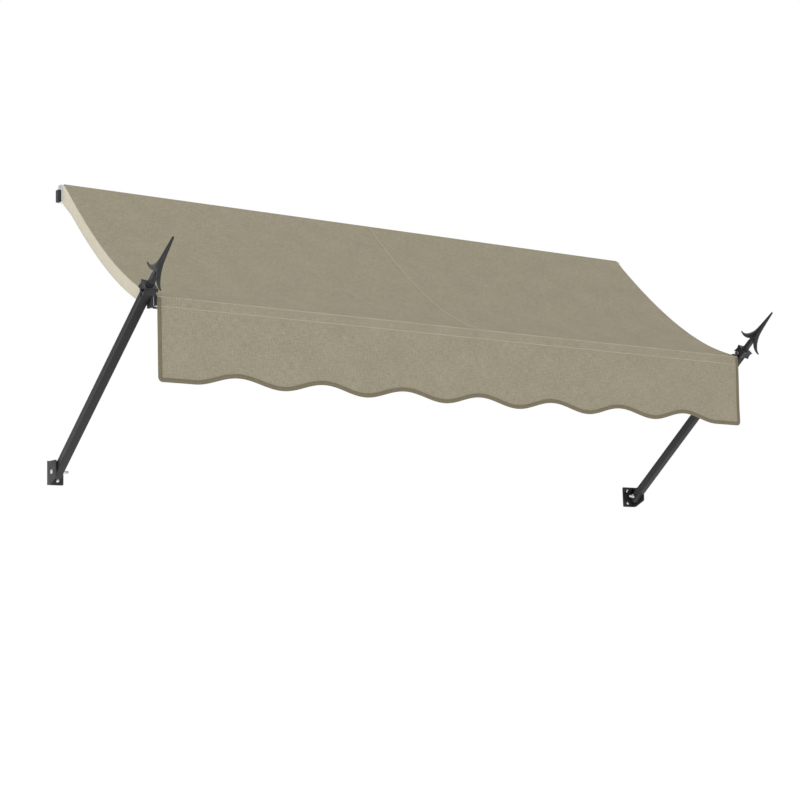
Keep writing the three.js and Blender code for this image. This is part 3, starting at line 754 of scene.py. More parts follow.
@dataclass
class Cover:
    """The canvas cover: canopy and valance in one sheet, its seams, binding, pocket and side sleeves."""

    curve: CoverCurve = field(default_factory=CoverCurve)
    cloth: float = 1.1 * MM
    valance: float = 242 * MM
    scallops: int = 7
    pitch: float = 289 * MM
    rise: float = 27 * MM
    corner: float = 14 * MM
    rim: float = 1.4 * MM
    braid_width: float = 12 * MM
    braid_gap: float = 1.25 * MM
    braid_cloth: float = 0.75 * MM
    seam_half: float = 8 * MM
    seam_rise: float = 0.75 * MM
    row_depths: tuple[float, float] = (3.0 * MM, 29.5 * MM)
    row_pitch: float = 9.3 * MM
    row_groove: float = 0.45 * MM
    slack: tuple[float, float] = (1.5 * MM, 0.5 * MM)
    pucker: float = 0.28 * MM
    pucker_pitch: float = 47 * MM
    hem: float = 2.5 * MM
    sleeve_depth: float = 38 * MM
    sleeve_seat: float = 1.75 * MM
    sleeve_flare: float = 8 * MM
    strip_cloth: float = 1.0 * MM

    def __post_init__(self) -> None:
        """Reads the cover's width and fold from the frame."""
        self.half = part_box("canopy_right")[1].x
        self.fold_z = self.curve.head_z - self.curve.drop
        self.top_z = self.curve.points[-1].y
        self.front_y = -self.curve.front_out

    # ---- outline of the valance
    def lower_edge(self, x: float) -> float:
        """Height of the valance's lower edge: raised cosine arches between level ends."""
        lowest = self.fold_z - self.valance
        reach = self.scallops * self.pitch / 2
        if abs(x) >= reach:
            return lowest
        phase = (x + reach) / self.pitch * 2 * math.pi
        return lowest + self.rise / 2 * (1 - math.cos(phase))

    def cut_edge(self, x: float) -> float:
        """The cloth's cut edge, just inside the binding and round its lower corners."""
        inner = self.half - self.corner
        past = max(0.0, abs(x) - inner)
        radius = self.corner - self.rim
        round_up = radius - math.sqrt(max(0.0, radius ** 2 - min(past, radius) ** 2))
        return self.lower_edge(x) + self.rim + round_up

    def spread(self, x: float, z: float) -> float:
        """How far the cloth is pulled out past the bar's right end, most at the front fold."""
        near = smooth_step((x - self.half + 0.22) / 0.22)
        level = smooth_step((self.fold_z + 0.06 - z) / 0.06)
        down = max(0.0, (self.fold_z - z) / self.valance)
        return near * level * (9.5 - 5.0 * down + 0.8 * math.sin(down * 7)) * MM

    def drift(self, x: float, z: float) -> float:
        """How far the hanging cloth stands off its plane, growing towards the lower edge."""
        share = max(0.0, min(1.1, (self.fold_z - z) / self.valance))
        wave = 1.7 * math.sin(2 * math.pi * x / 0.47 + 0.6) + 1.2 * math.sin(2 * math.pi * x / 0.291 + 2.1)
        return share ** 1.4 * wave * MM

    # ---- relief of the canopy
    def relief(self, x: float, length: float) -> float:
        """Height of the cloth above the plain curve: seam, hems, slack and puckers."""
        total = self.curve.fold_length
        inside = smooth_step(length / 0.05) * smooth_step((total - length) / 0.04)
        edge = smooth_step((self.half - abs(x)) / 0.12)
        slow, quick = self.slack
        slack = slow * noise.noise(Vector((x * 2.1, length * 3.4, 0.7)))
        slack += quick * noise.noise(Vector((x * 6.3, length * 5.1, 4.2)))
        height = slack * inside * edge
        height += self.seam_rise * (1 - smooth_step((abs(x) - self.seam_half) / (0.8 * MM))) * inside
        fold = total - length
        pucker = math.exp(-((fold - 0.012) / 0.016) ** 2) * edge
        phase = 2 * math.pi * x / self.pucker_pitch + 2 * noise.noise(Vector((x * 9, 0, 0)))
        return height + self.pucker * pucker * math.sin(phase)

    def edge_roll(self, x: float) -> float:
        """How far the side hems turn down round the sleeves."""
        near = max(0.0, abs(x) - (self.half - self.hem))
        return -0.35 * near ** 2 / self.hem

    def on_cover(self, x: float, length: float, lift: float = 0.0) -> Vector:
        """Point of the cover at a place along the wall and a distance along the cloth.

        Args:
            x: place along the wall.
            length: distance from the groove; past the fold it runs down the valance.
            lift: extra height above the cloth's middle.

        Returns:
            The point.
        """
        total = self.curve.fold_length
        if length <= total:
            point, normal = self.curve.at(length)
            inside = smooth_step(length / 0.02)
            height = (self.relief(x, length) + self.edge_roll(x)) * inside + lift
            z = point.y + normal.y * height
            return Vector((x + self.spread(x, z), point.x + normal.x * height, z))
        z = self.top_z - (length - total)
        groove = sum(
            math.exp(-((self.fold_z - depth - z) / (1.4 * MM)) ** 2) for depth in self.row_depths
        )
        y = self.front_y + self.drift(x, z) - lift + self.row_groove * groove
        return Vector((x + self.spread(x, z), y, z))

    def columns(self) -> list[float]:
        """Places across the cover, closer at the side hems and the centre seam."""
        hem = [self.half - d * MM for d in (0, 0.8, 1.6, 2.5, 6, 11)]
        seam = [d * MM for d in (-0.9, 0, 0.9)]
        field_columns = spaced(16 * MM, self.half - 18 * MM, 7.6 * MM)
        right = [self.seam_half + d for d in seam] + field_columns + hem[::-1]
        return [-x for x in reversed(right)] + [0.0] + right

    def build_cloth(self) -> bpy.types.Object:
        """Builds the one sheet of the canopy and the valance."""
        total = self.curve.fold_length
        upper = [*spaced(0, 0.012, 0.0015), *spaced(0.02, total - 0.034, 0.0095)]
        upper += [*spaced(total - 0.03, total - 0.006, 0.004), *spaced(total - 0.0045, total, 0.0015)]
        row_z = self.fold_z - self.row_depths[1]
        beside_row = (12, 6, 2.6, 1.2, 0, -1.2, -2.6, -6)
        hang = [self.top_z - 3 * MM, *(row_z + rise * MM for rise in beside_row)]
        depth_to = hang[-1]
        rows = [("canopy", s) for s in upper] + [("hang", z) for z in hang]
        rows += [("skirt", share) for share in spaced(0, 1, 1 / 18)[1:]]
        keys = list(range(len(rows)))

        def height(x: float, key: float) -> float:
            """Distance along the cloth of a column's and a row's value."""
            kind, value = rows[int(key)]
            if kind == "canopy":
                return value
            z = value if kind == "hang" else depth_to + (self.cut_edge(x) - depth_to) * value
            return total + (self.top_z - z)

        mesh = sheet_mesh(
            "awning_cover", self.columns(), keys,
            lambda x, key: self.on_cover(x, height(x, key)),
            lambda x, key: (x, height(x, key)),
        )
        piece = finish_piece("awning_cover", mesh, TAUPE, "canopy_left", "canopy_right", "valance")
        thicken(piece, self.cloth)
        return piece

    # ---- binding
    def braid_path(self, top: float) -> list[tuple[Vector, Vector, float]]:
        """Outer edge of the valance from its top left corner round to its top right.

        Args:
            top: height of the two upper ends.

        Returns:
            Points (x, z), inward normals and distances along the edge.
        """
        floor = self.lower_edge(self.half)
        left = [Vector((-self.half, z)) for z in spaced(top, floor + self.corner, 8 * MM)]
        for angle in spaced(0.0, math.pi / 2, math.pi / 14)[1:]:
            x = -self.half + self.corner * (1 - math.cos(angle))
            left.append(Vector((x, floor + self.corner * (1 - math.sin(angle)))))
        reach = self.half - self.corner
        bottom = [Vector((x, self.lower_edge(x))) for x in spaced(-reach, reach, 7 * MM)[1:-1]]
        right = [Vector((-p.x, p.y)) for p in reversed(left)]
        points = left + bottom + right
        path = []
        run = 0.0
        for index, point in enumerate(points):
            before = points[max(index - 1, 0)]
            after = points[min(index + 1, len(points) - 1)]
            along = (after - before).normalized()
            if index:
                run += (point - points[index - 1]).length
            path.append((point, Vector((-along.y, along.x)), run))
        return path

    def build_binding(self) -> bpy.types.Object:
        """Builds the braid folded over the valance's sides and lower edge."""
        path = self.braid_path(self.top_z - 1 * MM)
        depths = spaced(0, self.braid_width - 2.0 * MM, 2.4 * MM)
        face = [(self.braid_width - depth, -self.braid_gap) for depth in depths]
        turn = []
        for angle in spaced(0, math.pi, math.pi / 6):
            inward = 1.2 * MM * (1 - math.sin(angle)) + 0.4 * MM
            turn.append((inward, -self.braid_gap * math.cos(angle)))
        section = face + turn + [(inward, -off) for inward, off in reversed(face)]

        def place(key: float, step: float) -> Vector:
            """Point of the braid at a step of the path and of its folded section."""
            point, inward, _ = path[int(key)]
            depth, off = section[int(step)]
            swell = 1 + 0.25 * math.sin(math.pi * min(1.0, depth / self.braid_width))
            x, z = point.x + inward.x * depth, point.y + inward.y * depth
            return Vector((x + self.spread(x, z), self.front_y + self.drift(x, z) + off * swell, z))

        mesh = sheet_mesh(
            "valance_braid", list(range(len(path))), list(range(len(section))), place,
            lambda key, step: (path[int(key)][2], step * 2.0 * MM),
        )
        piece = finish_piece("valance_braid", mesh, BRAID, "valance_binding")
        thicken(piece, self.braid_cloth)
        return piece

    # ---- pocket round the bar
    def build_pocket(self) -> bpy.types.Object:
        """Builds the strip that folds round the front bar and is sewn to the valance."""
        pocket_low, pocket_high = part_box("bar_pocket")
        back = pocket_high.y - 0.8 * MM
        floor = pocket_low.z + 0.8 * MM
        top = pocket_high.z - 0.6 * MM
        front = self.front_y + 1.6 * MM
        radius = 5 * MM
        section = [Vector((back, z)) for z in spaced(top, floor + radius, 5 * MM)]
        for angle in spaced(0, math.pi / 2, math.pi / 12)[1:]:
            y = back - radius * (1 - math.cos(angle))
            section.append(Vector((y, floor + radius * (1 - math.sin(angle)))))
        section += [Vector((y, floor)) for y in spaced(back - radius, front + 2 * MM, 5 * MM)[1:]]
        section.append(Vector((front, floor - 1.2 * MM)))
        section.append(Vector((front, floor - 6 * MM)))
        lengths = [0.0]
        for before, after in zip(section, section[1:]):
            lengths.append(lengths[-1] + (after - before).length)
        reach = pocket_high.x

        def place(x: float, step: float) -> Vector:
            """Point of the pocket, sagging a little between its seams."""
            point = section[int(step)]
            share = lengths[int(step)] / lengths[-1]
            sag = math.sin(math.pi * share) * 0.6 * MM * noise.noise(Vector((x * 7, share * 2, 3)))
            return Vector((x, point.x, point.y - abs(sag)))

        mesh = sheet_mesh(
            "bar_pocket_cloth", spaced(-reach, reach, 14 * MM), list(range(len(section))), place,
            lambda x, step: (x, lengths[int(step)]),
        )
        piece = finish_piece("bar_pocket_cloth", mesh, TAUPE, "bar_pocket")
        thicken(piece, self.strip_cloth)
        return piece

    # ---- side sleeves
    def build_sleeve(self, side: str) -> bpy.types.Object:
        """Builds the flat fabric tube that holds one rib."""
        low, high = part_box(f"side_sleeve_{side}")
        middle = (low.x + high.x) / 2
        half = (high.x - low.x) / 2 - 0.6 * MM
        section = self.sleeve_section(half, self.sleeve_depth)
        head_out, front_out = -high.y, -low.y

        def place(out: float, step: float) -> Vector:
            """Point of the sleeve, its ends cut upright and its outer face flared at the head."""
            across, down = section[int(step) % len(section)]
            y, z = self.under_canopy(out, self.sleeve_seat + down)
            if across * SIDES[side] > 0:
                flare = self.sleeve_flare * (1 - smooth_step((out - head_out) / (45 * MM)))
                across += SIDES[side] * flare
            return Vector((middle + across, y, z))

        stations = spaced(head_out, front_out, 9 * MM)
        steps = list(range(len(section) + 1))
        rounds = [0.0]
        for index in range(len(section)):
            here, after = Vector(section[index]), Vector(section[(index + 1) % len(section)])
            rounds.append(rounds[-1] + (after - here).length)
        mesh = sheet_mesh(
            f"side_sleeve_cloth_{side}", stations, steps, place,
            lambda out, step: (out * 1.25, rounds[int(step)]), closed_rows=True,
        )
        # The sleeve's cream colour is painted light: taupe canvas coloured as if strongly lit.
        piece = finish_piece(f"side_sleeve_cloth_{side}", mesh, PAINTED_LIT_CANVAS, f"side_sleeve_{side}")
        thicken(piece, self.strip_cloth)
        middle_depth = self.sleeve_seat + self.sleeve_depth / 2
        middles = [Vector(self.under_canopy(out, middle_depth)) for out in stations]
        return piece

    def sleeve_section(self, half: float, depth: float) -> list[tuple[float, float]]:
        """Closed section of a sleeve, as points (across, down), with a welt along its lower edge."""
        radius = 1.8 * MM
        bulge = 0.5 * MM
        welt = depth - 3.2 * MM
        side = []
        for share in spaced(0, 1, 1 / 7):
            down = radius + (welt - 1.2 * MM - radius) * share
            side.append((half + bulge * math.sin(math.pi * share), down))
        side += [(half - 0.7 * MM, welt), (half + 0.1 * MM, welt + 1.0 * MM)]
        side += [(half - 0.6 * MM, depth - 0.8 * MM), (half - 2.4 * MM, depth)]
        right = [(half - radius, 0.0), (half - radius * 0.3, radius * 0.3)] + side
        left = [(-across, down) for across, down in reversed(right)]
        return right + left

    def under_canopy(self, out: float, down: float) -> tuple[float, float]:
        """Point (y, z) at a distance out from the wall and a depth below the canopy's middle."""
        low, high = -0.1, 1.1
        point = Vector((0, 0))
        for _ in range(28):
            share = (low + high) / 2
            ahead = self.curve.on_canopy(share + 1e-3) - self.curve.on_canopy(share - 1e-3)
            along = ahead.normalized()
            point = self.curve.on_canopy(share) + Vector((-along.y, along.x)) * down
            if -point.x < out:
                low = share
            else:
                high = share
        return point.x, point.y

    # ---- stitches
    def stitch_row(
        self, name: str, places: Sequence[tuple[Vector, Vector, Vector]], finish: Finish,
        length: float = 4.3 * MM, width: float = 1.8 * MM,
    ) -> bpy.types.Object:
        """Lays a row of stitches.

        Args:
            name: the piece's name.
            places: each stitch's middle, its run and the cloth's outward normal.
            finish: the thread.
            length: a stitch's length.
            width: the thread's thickness.

        Returns:
            The row, as one piece.
        """
        picks = random.Random(name)
        shape = bmesh.new()
        for middle, run, normal in places:
            run = run.normalized()
            side = normal.cross(run).normalized()
            turned = (run + side * picks.uniform(-0.05, 0.05)).normalized()
            side = normal.cross(turned).normalized()
            size = length * picks.uniform(0.9, 1.08)
            basis = Matrix((turned * size / 2, side * width / 2, normal * width / 2)).transposed().to_4x4()
            basis.translation = middle
            lying = basis @ Matrix.Rotation(math.pi / 2, 4, "Y")
            bmesh.ops.create_uvsphere(shape, u_segments=6, v_segments=5, radius=1.0, matrix=lying)
        bmesh.ops.recalc_face_normals(shape, faces=shape.faces)
        return finish_piece(name, mesh_of(shape, name, sharp=180.0), finish)

    def build_stitches(self) -> list[bpy.types.Object]:
        """Builds the pocket's two rows, the centre seam's row and the binding's row."""
        lift = self.cloth / 2 + 0.2 * MM
        along_x = Vector((1, 0, 0))
        total = self.curve.fold_length
        made = []
        for label, depth in zip(("upper", "lower"), self.row_depths):
            length = total + self.top_z - (self.fold_z - depth)
            _, out = self.curve.at(min(length, total))
            normal = Vector((0, out.x, out.y)) if length < total else Vector((0, -1, 0))
            reach = self.half - self.braid_width - 2 * MM
            columns = spaced(-reach, reach, self.row_pitch)
            places = [(self.on_cover(x, length, lift), along_x, normal) for x in columns]
            made.append(self.stitch_row(f"pocket_stitches_{label}", places, LIGHT_THREAD))
        seam = []
        for length in spaced(0.03, total - 9 * MM, self.row_pitch):
            _, out = self.curve.at(length)
            normal = Vector((0, out.x, out.y))
            beside = self.seam_half * 0.5
            ahead = self.on_cover(beside, length + 1 * MM) - self.on_cover(beside, length)
            seam.append((self.on_cover(0.0, length, lift), ahead, normal))
        made.append(self.stitch_row("centre_seam_stitches", seam, LIGHT_THREAD, width=1.5 * MM))
        made.append(self.binding_stitches())
        return made

    def binding_stitches(self) -> bpy.types.Object:
        """Builds the row that holds the binding, just inside its inner edge."""
        path = self.braid_path(self.top_z - 4 * MM)
        inset = self.braid_width - 2.2 * MM
        step = 6.5 * MM
        places = []
        due = step
        for (point, inward, run), (after, _, _) in zip(path, path[1:]):
            if run < due:
                continue
            due = run + step * 0.9
            x, z = point.x + inward.x * inset, point.y + inward.y * inset
            face = self.front_y + self.drift(x, z) - self.braid_gap - self.braid_cloth / 2 - 0.35 * MM
            along = Vector((after.x - point.x, 0, after.y - point.y))
            places.append((Vector((x + self.spread(x, z), face, z)), along, Vector((0, -1, 0))))
        return self.stitch_row("binding_stitches", places, DARK_THREAD, length=4.4 * MM, width=1.0 * MM)

    def build_welt(self) -> bpy.types.Object:
        """Builds the cord in the hem that the track's groove holds."""
        low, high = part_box("head_bead")
        centre = (low + high) / 2
        radius = (high.z - low.z) / 2
        steps = 20
        columns = [low.x, low.x + 0.6 * MM, low.x + 1.6 * MM]
        columns += spaced(low.x + 20 * MM, high.x - 20 * MM, 60 * MM)
        columns += [high.x - 1.6 * MM, high.x - 0.6 * MM, high.x]

        def place(x: float, step: float) -> Vector:
            """Point of the welt, drawn in at its ends."""
            inset = min(x - low.x, high.x - x)
            size = radius * (0.72 + 0.28 * smooth_step(inset / (1.6 * MM)))
            angle = 2 * math.pi * step / steps
            return Vector((x, centre.y + size * math.cos(angle), centre.z + size * math.sin(angle)))

        mesh = sheet_mesh(
            "head_welt", columns, list(range(steps + 1)), place,
            lambda x, step: (x, step * 2 * math.pi * radius / steps), closed_rows=True,
        )
        shape = bmesh.new()
        shape.from_mesh(mesh)
        bpy.data.meshes.remove(mesh)
        bmesh.ops.holes_fill(shape, edges=[e for e in shape.edges if e.is_boundary], sides=0)
        bmesh.ops.recalc_face_normals(shape, faces=shape.faces)
        return finish_piece("head_welt", mesh_of(shape, "head_welt"), TAUPE, "head_bead")

    def build(self) -> None:
        """Builds the cover with its binding, stitches, pocket, side sleeves and welt."""
        cloth = self.build_cloth()
        binding = self.build_binding()
        rows = self.build_stitches()
        self.build_pocket()
        for side in SIDES:
            self.build_sleeve(side)
        self.build_welt()


# ------------------------------------------------------------------ arms, finials and brackets
@dataclass
class Arms:
    """The two square arms with their cast spearheads."""

    tilt: float = math.radians(38.1)
    pivot_out: float = 37.5 * MM
    pivot_z: float = -853 * MM
    offset: float = 31 * MM
    collar_start: float = 712 * MM
    collar_end: float = 741 * MM
    collar_half: float = 21 * MM
    collar_dips: tuple[float, float] = (0.2, 0.16)
    neck: float = 6.5 * MM
    neck_root: float = 6 * MM
    blade_reach: float = 62 * MM
    shank_end: float = 797 * MM
    shank_halves: tuple[float, float] = (8.0 * MM, 6.8 * MM)
    socket_half: float = 13.05 * MM
    socket_floor: float = 5 * MM
    voxel: float = 0.9 * MM

    def matrix(self, sign: int) -> Matrix:
        """Places arm coordinates: Z along the arm from its pivot, X along the wall."""
        x = sign * (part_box("canopy_right")[1].x + self.offset)
        place = Matrix.Translation((x, -self.pivot_out, self.pivot_z))
        return place @ Matrix.Rotation(math.pi / 2 - self.tilt, 4, "X")

    def collar(self) -> bmesh.types.BMesh:
        """A block whose six faces are hollowed, so that its edges and corners stand out."""
        shape = bmesh.new()
        bmesh.ops.create_cube(shape, size=2.0)
        bmesh.ops.subdivide_edges(shape, edges=shape.edges, cuts=15, use_grid_fill=True)
        half_length = (self.collar_end - self.collar_start) / 2
        middle = (self.collar_start + self.collar_end) / 2
        dip_side, dip_end = self.collar_dips
        for vertex in shape.verts:
            x, y, z = vertex.co
            waist = dip_side * (1 - z * z) * 0.55
            wide = x * (1 - waist - dip_side * (1 - y * y) * 0.8)
            deep = y * (1 - waist - dip_side * (1 - x * x) * 0.8)
            tall = z * (1 - dip_end * ((1 - x * x) + (1 - y * y)) * 0.5)
            vertex.co = (wide * self.collar_half, deep * self.collar_half, tall * half_length + middle)
        return shape

    def outline(self) -> list[Vector]:
        """Half of the spear's outline as points (across, along), from its neck round to its tip."""
        def curve(*corners: tuple[float, float]) -> list[Vector]:
            """Samples one cubic curve, leaving out its first point."""
            points = interpolate_bezier(*[Vector(corner) * MM for corner in corners], 60)
            return [Vector(point[:2]) for point in points[1:]]

        base = self.collar_end - self.neck_root
        path = [Vector((0, base)), Vector((self.neck, base)), Vector((self.neck + 0.7 * MM, 786 * MM))]
        path += curve((7.2, 786), (15, 775), (34, 761), (58, 767.5))
        path += curve((58, 767.5), (60.5, 769), (60.5, 772.2), (57, 772.2))
        path += curve((57, 772.2), (42, 771), (24, 788), (14.5, 816))
        path += curve((14.5, 816), (10, 834), (7.6, 864), (3.2, 908.5))
        path += curve((3.2, 908.5), (2.8, 911.0), (1.6, 912), (0, 912))
        return path

    def blade(self) -> bmesh.types.BMesh:
        """The spear's barbed blade, whose faces rise to ridges along their middles.

        Returns:
            One closed body: a plate cut along the outline, then swollen by its distance from the edge.
        """
        path = self.outline()
        samples = []
        for here, after in zip(path, path[1:]):
            steps = max(1, math.ceil((after - here).length / (0.25 * MM)))
            samples += [here.lerp(after, step / steps) for step in range(steps)]
        tree = KDTree(len(samples))
        for index, sample in enumerate(samples):
            tree.insert((*sample, 0), index)
        tree.balance()
        low, high = path[0].y - 1 * MM, path[-1].y + 1 * MM
        shape = bmesh.new()
        bmesh.ops.create_grid(shape, x_segments=108, y_segments=150, size=1.0)
        for vertex in shape.verts:
            along = low + (vertex.co.y + 1) / 2 * (high - low)
            vertex.co = (0, vertex.co.x * self.blade_reach, along)
        outside = [v for v in shape.verts if not self.within(Vector((abs(v.co.y), v.co.z)), path)]
        bmesh.ops.delete(shape, geom=outside, context="VERTS")
        rim = bmesh.ops.extrude_edge_only(shape, edges=[edge for edge in shape.edges if edge.is_boundary])
        for vertex in rim["geom"]:
            if isinstance(vertex, bmesh.types.BMVert):
                nearest = tree.find((abs(vertex.co.y), vertex.co.z, 0))[0]
                vertex.co = (0, math.copysign(nearest.x, vertex.co.y), nearest.y)
        front = bmesh.ops.extrude_face_region(shape, geom=list(shape.faces))["geom"]
        for vertex in shape.verts:
            vertex.co.x = -self.half_thickness(tree.find((abs(vertex.co.y), vertex.co.z, 0))[2])
        for vertex in front:
            if isinstance(vertex, bmesh.types.BMVert):
                vertex.co.x = -vertex.co.x
        loose = [edge for edge in shape.edges if not edge.link_faces]
        bmesh.ops.delete(shape, geom=loose, context="EDGES")
        return shape

    def shank(self) -> bmesh.types.BMesh:
        """The square bar between the collar and the blade, a little slimmer towards the blade."""
        shape = bmesh.new()
        ends = (self.collar_end - self.neck_root, self.shank_end)
        bmesh.ops.create_cube(shape, size=2.0)
        for vertex in shape.verts:
            far = vertex.co.z > 0
            half = self.shank_halves[far]
            vertex.co = (vertex.co.x * half, vertex.co.y * half, ends[far])
        return shape

    def half_thickness(self, distance: float) -> float:
        """Half of the casting's thickness at a distance in from its outline."""
        edge = 0.35 * MM + 1.0 * MM * (1 - math.exp(-distance / (0.7 * MM)))
        slope = distance * 0.8
        return edge + slope / (1 + (slope / (6.4 * MM)) ** 4) ** 0.25

    def within(self, point: Vector, ring: Sequence[Vector]) -> bool:
        """Whether a point lies inside a closed outline."""
        inside = False
        before = ring[-1]
        for corner in ring:
            if (corner.y > point.y) != (before.y > point.y):
                cross = before.x + (corner.x - before.x) * (point.y - before.y) / (corner.y - before.y)
                if point.x < cross:
                    inside = not inside
            before = corner
        return inside

    def finial(self) -> bpy.types.Mesh:
        """One spearhead in arm coordinates.

        The collar and shank are fused into one skin with small fillets and cut for the arm's socket;
        the blade's own skin is kept, because its thin edges are finer than the fusing grid.
        """
        body = scratch_object(gather(self.collar(), self.shank()))
        fuse = body.modifiers.new("fuse", "REMESH")
        fuse.mode = "VOXEL"
        fuse.voxel_size = self.voxel
        fillet = body.modifiers.new("fillet", "SMOOTH")
        fillet.factor = 0.5
        fillet.iterations = 3
        bored = cut_away(body, scratch_object(self.socket()))
        return mesh_of(gather(bored, self.blade()), "spearhead", sharp=55.0)

    def socket(self) -> bmesh.types.BMesh:
        """The square bore that takes the arm's end."""
        shape = bmesh.new()
        top = self.collar_end - self.socket_floor
        bottom = self.collar_start - 6 * MM
        place = Matrix.Translation((0, 0, (top + bottom) / 2))
        size = Matrix.Diagonal((self.socket_half, self.socket_half, (top - bottom) / 2, 1))
        bmesh.ops.create_cube(shape, size=2.0, matrix=place @ size)
        return shape

    def build(self) -> None:
        """Builds both arms, spearheads and wall brackets."""
        casting = self.finial()
        for side, sign in SIDES.items():
            softened_copy(f"arm_{side}", f"arm_tube_{side}", COAT, bevel=0.3 * MM, segments=2, sharp=50)
            mesh = casting.copy()
            mesh.transform(self.matrix(sign))
            finish_piece(f"spearhead_{side}", mesh, CASTING, f"spear_finial_{side}")
            softened_copy(f"wall_bracket_{side}", f"wall_foot_{side}", CASTING, bevel=0.9 * MM, segments=3)


# ------------------------------------------------------------------ hardware
@dataclass
class Hardware:
    """Bolts, nuts and screws with chamfers, threads and driver recesses."""

    thread_pitch: float = 1.25 * MM
    ring_steps: int = 24
    pivot_radius: float = 4 * MM
    pivot_head: float = 4.5 * MM
    pivot_flats: float = 13 * MM
    screw_radius: float = 2.6 * MM
    screw_seat: float = 3.5 * MM

    def lathe(self, profile: Sequence[tuple[float, float]], steps: int | None = None) -> bmesh.types.BMesh:
        """Spins a profile of (along, radius) points round X."""
        shape = bmesh.new()
        points = [shape.verts.new((along, 0, radius)) for along, radius in profile]
        edges = [shape.edges.new(pair) for pair in zip(points, points[1:])]
        bmesh.ops.spin(
            shape, geom=points + edges, cent=(0, 0, 0), axis=(1, 0, 0), dvec=(0, 0, 0),
            angle=2 * math.pi, steps=steps or self.ring_steps, use_merge=True,
        )
        bmesh.ops.remove_doubles(shape, verts=shape.verts, dist=1e-6)
        bmesh.ops.recalc_face_normals(shape, faces=shape.faces)
        return shape

    def thread(self, start: float, end: float, radius: float) -> list[tuple[float, float]]:
        """Profile of a thread's crests and roots between two places, with a chamfered tip."""
        depth = 0.55 * self.thread_pitch
        root = radius - depth * 0.9
        profile = []
        at = start
        while at < end - 1.5 * MM:
            profile += [(at, radius), (at + 0.42 * self.thread_pitch, root)]
            profile.append((at + 0.58 * self.thread_pitch, root))
            at += self.thread_pitch
        tip = [(at, radius), (end - 0.5 * MM, radius - depth), (end, radius - depth * 1.6), (end, 0.0)]
        return profile + tip

    def hex_head(self, start: float, height: float, flats: float, domed: float) -> bmesh.types.BMesh:
        """A hexagonal head along X with chamfered corners on its outer end."""
        shape = bmesh.new()
        radius = flats / math.sqrt(3)
        bmesh.ops.create_cone(
            shape, cap_ends=True, segments=6, radius1=radius, radius2=radius, depth=abs(height),
            matrix=Matrix.Translation((start + height / 2, 0, 0)) @ Matrix.Rotation(math.pi / 2, 4, "Y"),
        )
        outer = start + height
        rim = [e for e in shape.edges if all(abs(v.co.x - outer) < 1e-6 for v in e.verts)]
        bmesh.ops.bevel(
            shape, geom=rim, offset=domed, offset_type="OFFSET", segments=3, profile=0.5,
            affect="EDGES", clamp_overlap=True, material=-1,
        )
        return shape

    def pivot_bolt(self, side: str) -> None:
        """Builds a bracket's bolt: a hexagon head outside the ear and a threaded tail inside."""
        sign = SIDES[side]
        low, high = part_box(f"pivot_bolt_{side}")
        centre = centre_of(f"pivot_bolt_{side}")
        outer, inner = (high.x, low.x) if sign > 0 else (low.x, high.x)
        seat = outer - sign * self.pivot_head
        shank = abs(seat - inner)
        tail = self.thread(shank * 0.35, shank, self.pivot_radius)
        body = self.lathe([(0.0, 0.0), (0.0, self.pivot_radius), *tail])
        bmesh.ops.transform(body, matrix=self.facing(seat, centre, -sign), verts=body.verts)
        cap = self.hex_head(0.0, self.pivot_head, self.pivot_flats, 1.2 * MM)
        bmesh.ops.transform(cap, matrix=self.facing(seat, centre, sign), verts=cap.verts)
        mesh = mesh_of(gather(body, cap), "bolt", sharp=32)
        finish_piece(f"pivot_hex_bolt_{side}", mesh, ZINC, f"pivot_bolt_{side}")

    def facing(self, seat: float, centre: Vector, sign: int) -> Matrix:
        """Turns a shape built along +X to run from a seat towards that side."""
        turn = Matrix.Identity(4) if sign > 0 else Matrix.Rotation(math.pi, 4, "Z")
        return Matrix.Translation((seat, centre.y, centre.z)) @ turn

    def wall_screw(self, node: str, name: str) -> None:
        """Builds a pan-head wall screw with a cross recess in its domed head."""
        low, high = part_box(node)
        centre = (low + high) / 2
        radius = (high.x - low.x) / 2
        seat = high.y - self.screw_seat
        height = seat - low.y
        profile = [(-self.screw_seat, 0.0), (-self.screw_seat, self.screw_radius)]
        profile += [(0.0, self.screw_radius), (0.0, radius)]
        for rise, share in ((0.3, 0.98), (0.6, 0.88), (0.82, 0.7), (0.95, 0.45), (1.0, 0.2)):
            profile.append((height * rise, radius * share))
        profile.append((height, 0.0))
        shape = self.lathe(profile, 28)
        slots = bmesh.new()
        for turn in (math.pi / 4, 3 * math.pi / 4):
            place = Matrix.Translation((height, 0, 0)) @ Matrix.Rotation(turn, 4, "X")
            place = place @ Matrix.Diagonal((1.7 * MM, radius * 0.42, 0.5 * MM, 1))
            bmesh.ops.create_cube(slots, size=2.0, matrix=place)
        cut = cut_away(scratch_object(shape), scratch_object(slots), use_self=True)
        mesh = mesh_of(cut, name, sharp=38.0)
        upright = Matrix.Rotation(-math.pi / 2, 4, "Z")
        mesh.transform(Matrix.Translation((centre.x, seat, centre.z)) @ upright)
        finish_piece(name, mesh, ZINC, node)

    def build(self) -> None:
        """Builds every fastener that shows."""
        for side in SIDES:
            self.pivot_bolt(side)
            for label in ("upper", "lower"):
                self.wall_screw(f"bracket_screw_{side}_{label}", f"wall_screw_{side}_{label}")
            for node, name, finish, bevel in (
                ("pivot_nut", "pivot_hex_nut", ZINC, 0.5 * MM),
                ("finial_nut", "finial_hex_nut", ZINC, 0.4 * MM),
                ("finial_bolt", "finial_round_bolt", CASTING, 0.7 * MM),
                ("bar_end_bolt", "bar_end_cap_bolt", CASTING, 0.8 * MM),
            ):
                softened_copy(f"{node}_{side}", f"{name}_{side}", finish, bevel=bevel, sharp=32)


